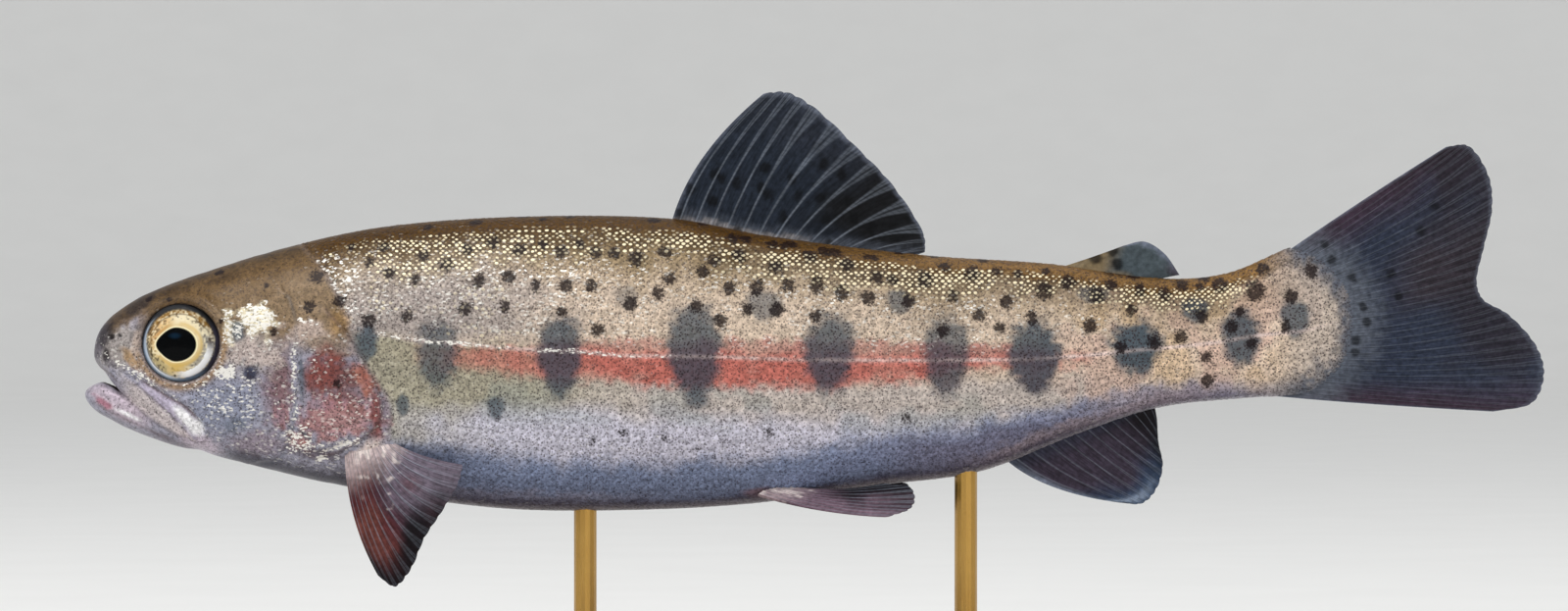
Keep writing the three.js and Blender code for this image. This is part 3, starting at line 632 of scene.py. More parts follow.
# Painted shade in the folds of the head, and teal and brick bands beside two, as (path, offset, width,
# pigment, strength, from, to).
headCreases = [
    ("maxillaUpper", 0.02, 0.13, "crease", 0.6, 4.5, 9.9),
    ("maxillaLower", 0.0, 0.14, "crease", 0.45, 2.2, 9.9),
    ("cheekFold", 0.12, 0.17, "crease", 0.75, 5.2, 10.9),
    ("upperLip", 0.0, 0.14, "crease", 0.45, 0.8, 3.4), ("lip", 0.05, 0.15, "crease", 0.45, 0.6, 8.2),
    ("preopercle", -0.3, 0.18, "teal", 0.35, 16.5, 20.5),
    ("coverRear", 0.12, 0.22, "crease", 0.5, 22.6, 28.8),
    ("coverRear", 0.75, 0.3, "brick", 0.35, 26.0, 28.9),
    ("subCover", 0.0, 0.14, "crease", 0.35, 20.3, 27.6),
]

# Bands along the flank: the belly's blue band of painted shade, both edges of the stripe, and how deep the
# lit scales reach.
bellyBand = lineThrough([(26, 4.2), (29, 4.9), (33, 5.1), (39, 5.0), (52, 4.2), (67, 4.3), (79, 4.4),
                         (87, 4.2), (93, 2.9), (101, 1.7), (110, 1.1)])
stripeTop = lineThrough([(31, 0.6), (36, 0.3), (41.7, 0.2), (47, 0.7), (51, 1.0), (70, 1.0), (80, 0.7),
                         (87, 0.35), (93, 0.1), (97, 0)])
stripeFoot = lineThrough([(31, -1.4), (36, -1.6), (41.7, -2.15), (51, -2.7), (58, -3.0), (67, -3.2),
                          (77, -2.9), (80.5, -2.5), (83.5, -1.6), (90, -1.4), (97, -1.0)])
glintDepth = lineThrough([(24, 5.0), (36, 4.0), (50, 3.2), (75, 3.0), (90, 2.2), (115, 1.7)])
headReach = 33  # nothing of the head lies further back


def brush(rgb, colours):
    # lays a pigment over the colours so far, by its share at each point
    def wash(name, share):
        rgb[:] += (colours[name] - rgb) * np.clip(share, 0, 1)[:, None]

    return wash


def patchShare(points, along, up, halfLength, halfHeight, raggedness, slant, rough):
    # 1 inside a slanted oval patch with a ragged edge, 0 outside it
    c, s = math.cos(math.radians(slant)), math.sin(math.radians(slant))
    x, y = points[:, 0] - along, points[:, 2] - up
    gap = np.hypot((x * c + y * s) / halfLength, (y * c - x * s) / halfHeight)
    return ease(-gap - raggedness * rough, -1.4, -0.55)


def markField(points, marks, rounded, edge, ragged):
    # the strongest of many marks at each point: 1 well inside one, 0 outside
    # rounded marks are round on the skin itself, the others taper downwards in the side view
    field = np.zeros(len(points))
    order = np.argsort(points[:, 0])
    sortedAlong = points[order, 0]
    for place, length, height, strength in marks:
        first, last = np.searchsorted(sortedAlong, [place[0] - length, place[0] + length])
        near = order[first:last]
        offset = points[near] - place
        across = np.hypot(offset[:, 1], offset[:, 2]) if rounded else offset[:, 2]
        taper = 1 if rounded else 1 + 0.24 * np.clip(offset[:, 2] / (height / 2), -1, 0.6)
        gap = np.hypot(offset[:, 0] / (length / 2) / taper, across / (height / 2)) + ragged[near]
        gap[points[near, 1] * place[1] < -1] = 9  # a mark stays on its own side
        field[near] = np.maximum(field[near], strength * ease(-gap, -1 - edge, -1 + edge))
    return field


def girthAt(name, along):
    return float(np.interp(along, girth["along"], girth[name]))


def bodySpot(along, up, side):
    # the place on the skin that the side view shows at this point
    here = along
    for _ in range(2):
        reach = np.linspace(-girthAt("below", here), girthAt("above", here), 120)
        points, _ = roundBody(np.full(120, here), reach, np.full(120, side))
        seen = seenFromSide(points)
        nearest = np.abs(seen[:, 2] - up).argmin()
        here += along - seen[nearest, 0]
    return points[nearest]


def placeMarks():
    # both sides' marks as places on the skin
    random = np.random.default_rng(7)
    spots, parrs = [], []
    for side in (-1, 1):
        shift = 0 if side < 0 else 1
        for along, up, size in spotMarks:
            along += shift * random.uniform(-1.3, 1.3)
            up += shift * random.uniform(-0.7, 0.7)
            size *= 1 + shift * random.uniform(-0.2, 0.2)
            strength = 0.55 if up < -6 else 1  # low on the flank they are faint
            length = size * random.uniform(0.85, 1.05)
            spots.append((bodySpot(along, up, side), length, size * 1.1, strength))
        for along, up, length, height, strength in parrMarks:
            along += shift * random.uniform(-1.2, 1.2)
            parrs.append((bodySpot(along, up, side), length, height, strength))
    for along in np.linspace(backSpots["from"], backSpots["to"], backSpots["count"]):
        along += random.uniform(-0.9, 0.9)
        reach = girthAt("above", along) + random.uniform(-1, 1) * backSpots["spread"]
        place, _ = roundBody(np.array([along]), np.array([reach]), np.array([-1]))
        size = random.uniform(*backSpots["size"])
        spots.append((place[0], size, size, 1))
    return spots, parrs


spotPlaces, parrPlaces = placeMarks()
print("marks:", len(spotPlaces), "spots and", len(parrPlaces), "parr marks")


def readSkin(points):
    # each point's depth under the back, lift over the belly and drop under the lateral line,
    # how far it is into the belly's band and onto the head, and three grains of unevenness
    at = SimpleNamespace(points=points, seen=seenFromSide(points))
    at.along, at.out, at.up = at.seen.T
    at.depth = bodyLines["back"](at.along) - at.up
    at.lift = at.up - bodyLines["belly"](at.along)
    at.drop = lateralLine(at.along) - at.up
    at.low = bellyBand(at.along) - at.lift
    at.head = ease(scaleFront(at.up) - at.along, -0.5, 0.7)
    at.rough = cloud(points, 1.5, 1) - 0.5
    at.fine = cloud(points, 0.42, 2) - 0.5
    at.broad = cloud(points, 4.0, 3) - 0.5
    return at


def readHead(at, onHead):
    # the head's points alone, with their distances from its eye and lines
    near = SimpleNamespace(**{name: values[onHead] for name, values in vars(at).items()})
    near.ragged = 0.9 * near.rough + 1.4 * near.fine
    near.eyeGap = np.hypot(near.along - eyePlace["along"], near.up - eyePlace["up"])
    near.gaps = {name: sideDistance(name, near.along, near.up) for name in headPaths}
    trough = ease(near.gaps["cheekFold"], -0.02, 0.25) * ease(-near.gaps["maxillaUpper"], -0.02, 0.2)
    trough *= ease(near.along, 4.6, 6.0) * ease(-near.along, -11.6, -10.9) * ease(near.up, -9.2, -8.3)
    lip = ease(-near.up - 0.8 * near.along, 1.2, 2.0) * (near.gaps["lip"] < 0.4)
    near.trough, near.smooth = trough, np.maximum(trough, lip)
    return near


def paintFlank(wash, at):
    # pinkish ground, sage in front above the line, lilac under it, gold and rose on the tail stem
    along, drop, rough, broad = at.along, at.drop, at.rough, at.broad
    wash("frontFlank", ease(-along - 6 * rough, -52, -36) * ease(at.up + broad, -1.5, 2.5))
    wash("stem", ease(along + 6 * rough, 90, 104))
    wash("lowFlank", ease(drop + 1.2 * rough, 0.8, 3.0) * ease(-along, -104, -92))
    wash("sage", 0.8 * ease(-along - 5 * rough, -56, -40) * ease(drop + rough, -0.6, 0.8))
    lilacDrop = drop + 1.4 * rough - 1.6 * ease(-along, -42, -31)
    wash("lilac", 0.9 * ease(lilacDrop, 4.2, 7.0) * ease(along + 4 * rough, 23, 40))
    underLine = ease(drop, 2.6, 4) * ease(-drop, -8, -6) * ease(-along, -96, -84)
    wash("mottle", 0.35 * ease(1.3 * broad + rough, 0.02, 0.3) * underLine)
    blotch = broad + 0.6 * rough
    wash("stemGold", 0.4 * ease(blotch, 0.0, 0.2) * ease(along, 90, 98) * ease(-along, -117, -112))
    wash("stemRose", 0.5 * ease(-blotch, 0.05, 0.2) * ease(along, 90, 98))


def paintBelly(wash, at):
    # painted shade: blue-grey in the shade of the flank, darkest along the keel
    along, lift, rough, fine = at.along, at.lift, at.rough, at.fine
    # painted shade: the blue-grey band under the curve of the flank
    wash("belly", ease(at.low + 1.2 * rough + 0.7 * fine, -1.5, 1.1) * ease(-along, -116, -104))
    rear = ease(along + 5 * at.broad, 68, 84) * ease(-along, -118, -108)
    # painted shade, darker towards the tail
    wash("bellyRear", ease(at.low + 1.4 * rough, -0.8, 1.4) * rear)
    keel = ease(-lift + 0.8 * rough + fine, -2.2, -1.0)
    wash("pinkGrey", 0.85 * keel * ease(along, 82, 90) * ease(-along, -112, -104))
    wash("lilacGrey", 0.5 * keel * ease(-along, -60, -45))
    wash("salmon", 0.45 * patchShare(at.points, 64.6, -13.6, 1.6, 0.6, 0.6, 0, rough))  # at the pelvic fin
    toStem = ease(along, 92, 104)
    # painted shade along the keel's lower edge
    edge = ease(-lift + 0.5 * rough + 0.5 * fine - 0.4 * toStem, -1.4, -0.3)
    wash("bellyEdge", (0.8 - 0.3 * toStem) * edge)
    inward = np.abs(at.out) / bodyLines["halfWidth"](along)
    wash("underside", 0.85 * ease(-inward, -0.4, -0.15) * (at.up < -3))


def paintBack(wash, at):
    # olive gold that darkens to brown on the ridge
    along, depth, rough, fine = at.along, at.depth, at.rough, at.fine
    browner = ridge(along - 53, 11)
    olive = ease(-depth + 1.8 * rough + 1.4 * at.broad + browner, -7.4, -3.0)
    wash("olive", (0.72 + 0.2 * browner) * olive * (1 - 0.4 * ease(along, 84, 96)))
    gaps = ease(-depth + 1.2 * rough + 0.8 * fine + at.broad, -4.1, -2.0) * ease(-along, -114, -104)
    wash("scaleGap", (0.85 - 0.25 * ease(along, 60, 74)) * gaps)
    wash("back", ease(-depth + 0.6 * rough + 0.4 * fine, -2.1, -1.0))
    wash("goldBack", 0.75 * ease(-depth + 0.6 * rough + 0.5 * fine, -2.0, -0.9) * ease(along, 56, 84))


def paintStripe(wash, at):
    # the rosy stripe under the lateral line, with a softer halo round it
    along, rough, fine, broad = at.along, at.rough, at.fine, at.broad
    ragged = 0.9 * fine + 0.5 * rough
    stripe = ease(-at.up + ragged, -stripeTop(along) - 0.5, -stripeTop(along) + 0.4)
    stripe *= ease(at.up + 1.2 * ragged, stripeFoot(along) - 0.9, stripeFoot(along) + 0.8)
    stripe *= ease(along + 2 * rough, 30.5, 36.5) * ease(-along + 3 * rough, -98.5, -92)
    wash("halo", stripe * ease(along + 3 * rough, 44, 50) * (0.8 + 0.5 * rough + 0.4 * broad))
    redder = 0.72 + 0.28 * ease(along, 41, 49) + 0.2 * ridge(along - 52, 4) - 0.3 * ease(along, 82, 87)
    redder *= 1 + 0.5 * rough + 0.4 * broad
    wash("stripe", stripe * ease(at.drop + 0.5 * fine, -1.0, 0.15) * redder)


def paintTailEnd(wash, at):
    # the flesh fades into the grey of the tail fin
    wash("tailBase", 0.7 * ease(at.along + 2 * at.rough, 112, 118))
    fade = ease(tailGap(at.along, at.up) + 1.4 * at.rough + 1.4 * at.fine, -2.8, 0.1)
    wash("tailFade", fade * ease(at.along, 113, 117))


def paintHead(wash, near):
    # ground colours first, then patches, the mouth's plates, painted shade in the folds and along the lower
    # edge, then the hollows
    along, up, rough, head = near.along, near.up, near.rough, near.head
    wash("cheek", head)
    wash("tan", head * ease(up + 0.8 * rough, -1.0, 2.2) * ease(along + rough, 4, 7))
    wash("crown", head * ease(-near.depth + 1.5 * rough, -3.9, -1.6) * ease(along, 4.5, 8))
    wash("crownDark", 0.85 * head * ease(-near.depth + 0.7 * rough, -1.7, -0.3))
    for name, x, y, halfLength, halfHeight, strength, raggedness, slant in headWashes:
        share = patchShare(near.seen, x, y, halfLength, halfHeight, raggedness, slant, near.ragged)
        wash(name, strength * share)
    under = ease(-up + 0.25 * along, 0.8, 2.2)
    wash("gold", 0.75 * ridge(near.eyeGap - eyePlace["rim"] - 0.35, 0.4) * under)
    wash("crownDark", 0.35 * ridge(near.eyeGap - eyePlace["rim"] - 0.2, 0.3) * (1 - under))
    wash("maxilla", 0.8 * maxillaPlate(along, up) * ease(along, 2.6, 5))
    wash("groove", 0.95 * near.trough)
    # the silver plate at the end of the upper jaw: silver bone with a painted sheen
    pad = patchShare(near.seen, 9.75, -6.5, 1.7, 0.55, 0.1, -45, near.ragged)
    wash("silver", np.maximum(pad, patchShare(near.seen, 10.6, -7.3, 0.9, 0.7, 0.1, -45, near.ragged)))
    for line, offset, width, pigment, strength, first, last in headCreases:
        reach = ease(along, first - 0.3, first + 0.8) * ease(-along, -last - 0.3, -last + 0.6)
        wash(pigment, strength * ridge(near.gaps[line] - offset, width) * reach)
    # painted shade along the lower edge of the head
    wash("shade", 0.8 * head * ease(-near.lift - 0.3 * near.ragged, -1.9, -0.5) * ease(along, 12, 15))
    # dark red inside the mouth: the mouth's own flesh, darkened as painted shade in its hollow
    wash("mouth", insideMouth(near.seen))
    # painted shade in the eye socket, where the skin sinks behind the eye
    socket = ease(-near.eyeGap, -eyePlace["rim"] - 0.05, -eyePlace["rim"] + 0.15)
    wash("socket", socket * (np.abs(near.out) > 1))
    for x, y, size in ((nostril["along"], nostril["up"], 0.42), (*nostril["second"], 0.3)):
        wash("snoutDark", 0.85 * ease(-np.hypot(along - x, up - y), -size, -0.4 * size))


def paintMarks(wash, at, parr):
    # the parr marks, redder where the stripe crosses them, and the pale lateral line
    along, drop, rough = at.along, at.drop, at.rough
    wash("parr", (0.72 + 0.22 * ease(along, 85, 97)) * parr)
    inStripe = ease(drop + rough, -1.6, -0.2) * ease(-drop - rough, -3.9, -2.6)
    wash("parrLow", 0.55 * parr * inStripe * ease(along, 37, 42) * ease(-along, -99, -94))
    line = ridge(drop, 0.17) * ease(along, 27, 31) * ease(-along, -121, -115)
    wash("line", line * (0.62 + at.fine + 0.25 * ease(along, 90, 98)) * (1 - 0.3 * parr))


def glintAt(at):
    # how strongly each scale's lit patch shows
    along, depth, drop, rough = at.along, at.depth, at.drop, at.rough
    glint = ease(depth + 0.5 * at.fine, 0.6, 1.5)
    glint *= ease(glintDepth(along) - depth + 1.4 * rough + at.broad, -2.6, 0.8)
    front = ease(-along - 8 * rough, -52, -38) * ease(drop, -8, -6) * ease(-drop, -1, 1.2)
    glint = np.maximum(glint, 0.5 * front)
    glint *= ease(along - scaleFront(at.up) + 2.5 * rough, -0.5, 4.5) * ease(-along, -114.5, -110)
    return glint * (0.88 + 0.8 * rough) * (1 + 0.42 * ease(along, 62, 76))


def shineAt(at, near, onHead, glint, parr):
    # how many painted glints the silvery guanine shows: white flecks standing for its glitter
    along, depth, drop, rough = at.along, at.depth, at.drop, at.rough
    flank = (1 - at.head) * ease(-along, -104, -90) * ease(-drop, -0.5, 2)
    front, high = ease(-along - 8 * rough, -56, -34), ease(-depth, -7.5, -4)
    shine = 0.1 + flank * (0.25 + 0.5 * front + 0.3 * high + rough)
    shine *= 1 - 0.75 * np.clip(glint, 0, 1)
    shine += 0.1 * ease(drop, 3, 7) + 0.22 * at.head * ease(-at.up, -3.5, -1.0)
    # painted glints at the pelvic fin's root
    finRoot = patchShare(at.points, 67, -13.2, 1.3, 0.3, 1.2, 25, at.fine)
    shine = np.maximum(shine, 2.6 * finRoot)
    for x, y, halfLength, halfHeight, amount, slant in headGlitter:
        patch = patchShare(near.seen, x, y, halfLength, halfHeight, 0.8, slant, near.ragged)
        shine[onHead] = np.maximum(shine[onHead], amount * patch)
    shine *= (1 - 0.9 * ease(-depth, -2.2, -1.0)) * (1 - 0.8 * parr) * (1 - 0.9 * at.smooth)
    shine *= 1 - 0.8 * ease(at.low, -0.6, 0.6) * (1 - at.head) * ease(at.lift, 0.6, 1.2)
    shine *= 1 - ease(-at.lift, -1.4, -0.4) * at.head
    # painted glints along the lateral line's pores
    beads = ease(along, 26, 29) * ease(-along, -64, -47)  # the lateral line's lit pores
    beads *= 1 - 0.6 * ease(along, 38, 41) + 0.5 * ease(along, 43, 45)
    return np.maximum(shine, 2.3 * beads * ridge(drop + 0.25 * at.fine, 0.16))


def storePaint(piece, points):
    # the colour of the skin at each point with its glint, then spots, parr marks, shine and pepper
    at = readSkin(points)
    onHead = at.along < headReach
    near = readHead(at, onHead)
    at.smooth = np.zeros(len(points))
    at.smooth[onHead] = near.smooth
    rgb = np.tile(pigments["flank"], (len(points), 1))
    wash = brush(rgb, pigments)
    for paint in (paintFlank, paintBelly, paintBack, paintStripe, paintTailEnd):
        paint(wash, at)
    headRgb = rgb[onHead]
    paintHead(brush(headRgb, pigments), near)
    rgb[onHead] = headRgb
    spot = markField(points, spotPlaces, True, 0.45, 0.5 * at.fine)
    parr = markField(points, parrPlaces, False, 0.3, 0.3 * at.rough + 0.35 * at.fine)
    paintMarks(wash, at, parr)
    glint = glintAt(at)
    shine = shineAt(at, near, onHead, glint, parr)
    pepper = 0.8 - 0.2 * ease(at.low, -0.4, 0.6) + 0.12 * ease(at.along, 92, 104)
    pepper = (pepper - 0.3 * at.head * ease(at.up, -1.5, 1.5)) * (1 - 0.85 * at.smooth)
    storeColour(piece, "tone", np.clip(rgb, 0, 1), glint)
    storeColour(piece, "marks", np.column_stack([spot, parr, shine]), pepper)


# Materials of the fish: shared fine detail first.
detail = {
    "pepperSize": 0.26, "grain": 0.38, "glitterSize": 0.16, "spotRag": 0.24,  # millimetres
    "pepper": "#3a3034", "glintFleck": "#faf6ee", "litPatch": "#f8e9c4",
}


def perMetre(millimetres):
    return 1000 / millimetres


def markedColour(tree, place, tone, marks):
    # the painted tone with grain, pepper dots, painted glints of glitter, slate parr marks and black spots
    split = addNode(tree, "SeparateColor", {}, {"Color": marks})
    spot, parr, shine = split.outputs[0], split.outputs[1], split.outputs[2]
    grain = addNode(tree, "TexNoise", {"Scale": perMetre(detail["grain"]), "Detail": 3.0, "Roughness": 0.6},
                    {"Vector": place})
    lighter = addNode(tree, "MapRange", {"From Min": 0.3, "From Max": 0.7, "To Min": 0.62, "To Max": 1.36},
                      {"Value": grain})
    colour = addNode(tree, "VectorMath", {"operation": "SCALE"}, {"Vector": tone, "Scale": lighter})
    dots = addNode(tree, "TexVoronoi", {"Scale": perMetre(detail["pepperSize"])}, {"Vector": place})
    dot = addNode(tree, "MapRange", {"From Min": 0.24, "From Max": 0.42, "To Min": 0.85, "To Max": 0.0},
                  {"Value": dots})
    denser = addNode(tree, "Math", {"operation": "MULTIPLY_ADD", 1: 0.35},
                     {0: parr, 2: marks.outputs["Alpha"]})
    dotShare = addNode(tree, "Math", {"operation": "MULTIPLY"}, {0: dot, 1: denser})
    edge = addNode(tree, "Math", {"operation": "MULTIPLY_ADD", 1: 2.2}, {0: grain, 2: parr})
    slate = addNode(tree, "MapRange", {"From Min": 1.35, "From Max": 2.4, "To Max": 0.6}, {"Value": edge})
    parred = addNode(tree, "Mix", {"data_type": "RGBA", 7: (*pigments["parr"], 1)}, {0: slate, 6: colour})
    peppered = addNode(tree, "Mix", {"data_type": "RGBA", 7: rgba(detail["pepper"])},
                       {0: dotShare, 6: parred})
    longer = addNode(tree, "VectorMath", {"operation": "MULTIPLY", 1: (0.6, 1, 1)}, {0: place})
    glintFlecks = addNode(tree, "TexVoronoi", {"Scale": perMetre(detail["glitterSize"])}, {"Vector": longer})
    pick = addNode(tree, "SeparateColor", {}, {"Color": glintFlecks.outputs["Color"]})
    # painted glints: white flecks, more of them where the shine is high
    limit = addNode(tree, "Math", {"operation": "MULTIPLY_ADD", 1: -0.3, 2: 1.0}, {0: shine})
    over = addNode(tree, "Math", {"operation": "SUBTRACT"}, {0: pick.outputs[0], 1: limit})
    glintFleck = addNode(tree, "MapRange", {"From Min": 0.0, "From Max": 0.2, "To Max": 0.9}, {"Value": over})
    glittered = addNode(tree, "Mix", {"data_type": "RGBA", 7: rgba(detail["glintFleck"])}, {0: glintFleck, 6: peppered})
    rag = addNode(tree, "TexNoise", {"Scale": perMetre(detail["spotRag"]), "Detail": 2.0},
                  {"Vector": place})
    ragged = addNode(tree, "Math", {"operation": "MULTIPLY_ADD", 1: 2.8}, {0: rag, 2: spot})
    spotShare = addNode(tree, "MapRange", {"From Min": 1.66, "From Max": 2.14, "To Max": 0.9},
                        {"Value": ragged})
    halo = addNode(tree, "MapRange", {"From Min": 0.1, "From Max": 0.9, "To Max": 0.5}, {"Value": spot})
    spotShare = addNode(tree, "Math", {"operation": "MAXIMUM"}, {0: spotShare, 1: halo})
    spotted = addNode(tree, "Mix", {"data_type": "RGBA", 7: (*pigments["spot"], 1)},
                      {0: spotShare, 6: glittered})
    return {"colour": spotted, "glintFleck": glintFleck, "spot": spotShare, "grain": grain}


def makeSkinMaterial():
    # Trout skin: thin moist hide over silvery guanine, so a soft metallic sheen under a clear wet layer.
    material, tree = startMaterial("troutSkin")
    place = addNode(tree, "TexCoord").outputs["Object"]
    tone = addNode(tree, "Attribute", {"attribute_name": "tone"})
    marks = addNode(tree, "Attribute", {"attribute_name": "marks"})
    look = markedColour(tree, place, tone, marks)
    metal = addNode(tree, "MapRange", {"To Min": 0.12, "To Max": 0.5}, {"Value": look["glintFleck"]})
    rough = addNode(tree, "MapRange", {"From Min": 0.3, "From Max": 0.7, "To Min": 0.34, "To Max": 0.5},
                    {"Value": look["grain"]})
    bump = addNode(tree, "Bump", {"Strength": 0.35, "Distance": 0.00008}, {"Height": look["grain"]})
    shader = addNode(tree, "BsdfPrincipled",
                     {"IOR": 1.4, "Specular IOR Level": 0.15, "Coat Weight": 0.07, "Coat Roughness": 0.2},
                     {"Base Color": look["colour"], "Metallic": metal, "Roughness": rough, "Normal": bump})
    finishMaterial(tree, shader)
    return material


def makeScaleMaterial():
    # Trout scales: clear thin plates over guanine. Near the back each shows one pale lit patch, a painted
    # highlight.
    material, tree = startMaterial("troutScales")
    place = addNode(tree, "TexCoord").outputs["Object"]
    tone = addNode(tree, "Attribute", {"attribute_name": "tone"})
    marks = addNode(tree, "Attribute", {"attribute_name": "marks"})
    onScale = addNode(tree, "Attribute", {"attribute_name": "scaleMap"})
    look = markedColour(tree, place, tone, marks)
    part = addNode(tree, "SeparateXYZ", {}, {"Vector": onScale.outputs["Vector"]})
    outward = addNode(tree, "Math", {"operation": "MULTIPLY_ADD", 1: 7.6, 2: -5.65}, {0: part.outputs[0]})
    across = addNode(tree, "Math", {"operation": "MULTIPLY", 1: 2.8}, {0: part.outputs[1]})
    both = addNode(tree, "CombineXYZ", {}, {0: outward, 1: across})
    gap = addNode(tree, "VectorMath", {"operation": "LENGTH"}, {0: both})
    swell = addNode(tree, "Math", {"operation": "MULTIPLY_ADD", 1: -0.7}, {0: part.outputs[2], 2: gap})
    patch = addNode(tree, "MapRange", {"From Min": 0.27, "From Max": 0.61, "To Min": 1.0, "To Max": 0.0},
                    {"Value": swell})
    mood = addNode(tree, "Math", {"operation": "MULTIPLY_ADD", 1: 1.3, 2: 0.32}, {0: part.outputs[2]})
    lit = addNode(tree, "Math", {"operation": "MULTIPLY"}, {0: tone.outputs["Alpha"], 1: mood})
    litShare = addNode(tree, "MapRange", {"From Min": 0.4, "From Max": 1.05, "To Max": 0.95},
                       {"Value": lit})
    patchShare = addNode(tree, "Math", {"operation": "MULTIPLY"}, {0: patch, 1: litShare})
    unspotted = addNode(tree, "Math", {"operation": "MULTIPLY_ADD", 1: -0.5, 2: 1.0}, {0: look["spot"]})
    finalShare = addNode(tree, "Math", {"operation": "MULTIPLY"}, {0: patchShare, 1: unspotted})
    # each scale's own tone, lighter or darker by chance and by row
    shade = addNode(tree, "Math", {"operation": "MULTIPLY_ADD", 1: 0.3, 2: 0.88}, {0: part.outputs[2]})
    # painted shade: each scale darker towards its rim, a dark line between the scales
    rim = addNode(tree, "MapRange", {"From Min": 0.86, "From Max": 1.0, "To Min": 1.0, "To Max": 0.68},
                  {"Value": part.outputs[0]})
    # scales with a painted highlight are darker round it, so that the patch stands out
    between = addNode(tree, "Math", {"operation": "MULTIPLY_ADD", 1: -0.36, 2: 1.0}, {0: litShare})
    edged = addNode(tree, "Math", {"operation": "MULTIPLY"}, {0: shade, 1: rim})
    shaded = addNode(tree, "Math", {"operation": "MULTIPLY"}, {0: edged, 1: between})
    varied = addNode(tree, "VectorMath", {"operation": "SCALE"},
                     {"Vector": look["colour"], "Scale": shaded})
    colour = addNode(tree, "Mix", {"data_type": "RGBA", 7: rgba(detail["litPatch"])},
                     {0: finalShare, 6: varied})
    metal = addNode(tree, "MapRange", {"To Min": 0.25, "To Max": 0.1}, {"Value": look["spot"]})
    rough = addNode(tree, "MapRange", {"From Min": 0.3, "From Max": 0.7, "To Min": 0.32, "To Max": 0.48},
                    {"Value": look["grain"]})
    shader = addNode(tree, "BsdfPrincipled",
                     {"IOR": 1.4, "Specular IOR Level": 0.15, "Coat Weight": 0.04, "Coat Roughness": 0.25},
                     {"Base Color": colour, "Metallic": metal, "Roughness": rough})
    finishMaterial(tree, shader)
    return material


skinMaterial = makeSkinMaterial()
skin = makeSkin()
storePaint(skin, readPoints(skin))
skin.data.materials.append(skinMaterial)
setInPlace(skin)
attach(skin, "root")
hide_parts("head", "trunk", "tail_stem", "lower_jaw", "gill_cover_left", "gill_cover_right",
            "maxilla_left", "maxilla_right")
print("skin:", countTriangles(skin), "triangles")


# The coat of scales: small lens-shaped plates in staggered rows, roots under the rims in front of them.
scaleMake = {
    "column": 0.33, "row": 0.33, "length": 1.32, "width": 0.8, "from": 19.5, "to": 122.2,
    "root": -0.13, "rim": 0.02, "dome": 0.05, "under": -0.02, "jitter": 0.05, "turn": 0.08,
    "cuts": [52, 80],  # where the coat is parted into pieces, along the fish
}
scaleShare = lineThrough([(19, 0.8), (40, 1), (70, 1), (95, 0.9), (112, 0.76), (122, 0.52)])


def scaleTemplate():
    # one scale: along its length from 0 at the root to 1 at the rim, across it from -1 to 1, and its height
    bpy.ops.mesh.primitive_uv_sphere_add(segments=10, ring_count=3, radius=1)
    lens = bpy.context.object
    unit = readPoints(lens)
    upper, lower = unit[:, 2] > 0.3, unit[:, 2] < -0.9
    share = np.select([np.abs(unit[:, 2]) > 0.9, upper], [0, 0.55], 1.0)
    ring = unit[:, :2] / np.maximum(np.linalg.norm(unit[:, :2], axis=1), 1e-6)[:, None] * share[:, None]
    heights = [scaleMake["dome"], 0.8 * scaleMake["dome"], scaleMake["under"]]
    height = np.select([unit[:, 2] > 0.9, upper, lower], heights, 0.0)
    points = np.column_stack([0.5 + 0.5 * ring[:, 0] + 0.06 * (1 - share), ring[:, 1], height])
    faces = [list(face.vertices) for face in lens.data.polygons]
    bpy.data.objects.remove(lens)
    return points, faces


def scaleRoots(side):
    # every scale's place on one side: along, reach, size
    roots = []
    along, column = scaleMake["from"], 0
    while along < scaleMake["to"]:
        row = scaleMake["row"] * float(scaleShare(along))
        above = girthAt("above", along) - 0.1 * side  # the left side takes the row on the middle line
        below = girthAt("below", along) - 0.1 * side
        first = -int(below / row)
        first += (first + column) % 2
        reach = np.arange(first, int(above / row) + 1, 2) * row
        roots.append(np.column_stack([np.full(len(reach), along), reach]))
        along += scaleMake["column"] * float(scaleShare(along))
        column += 1
    roots = np.concatenate(roots)
    points, _ = roundBody(roots[:, 0], roots[:, 1], np.full(len(roots), side))
    cover = scaleCover(points)
    keep = cover > 0.04
    size = scaleShare(roots[keep, 0]) * (0.5 + 0.5 * cover[keep])
    return np.column_stack([roots[keep], size])


def meshOfCopies(name, points, faces, copies):
    # many copies of one small face list, joined in one mesh
    mesh = bpy.data.meshes.new(name)
    order = np.arange(copies)[:, None]
    sizes = np.array([len(face) for face in faces])
    corners = np.concatenate(faces)
    allCorners = (corners[None] + len(points) // copies * order).ravel()
    mesh.vertices.add(len(points))
    mesh.vertices.foreach_set("co", points.astype(np.float32).ravel())
    mesh.loops.add(len(allCorners))
    mesh.loops.foreach_set("vertex_index", allCorners.astype(np.int32))
    starts = np.concatenate([[0], np.cumsum(sizes)[:-1]])
    mesh.polygons.add(copies * len(sizes))
    mesh.polygons.foreach_set("loop_start", (starts[None] + len(corners) * order).ravel())
    mesh.update(calc_edges=True)
    piece = bpy.data.objects.new(name, mesh)
    bpy.context.scene.collection.objects.link(piece)
    return piece, allCorners


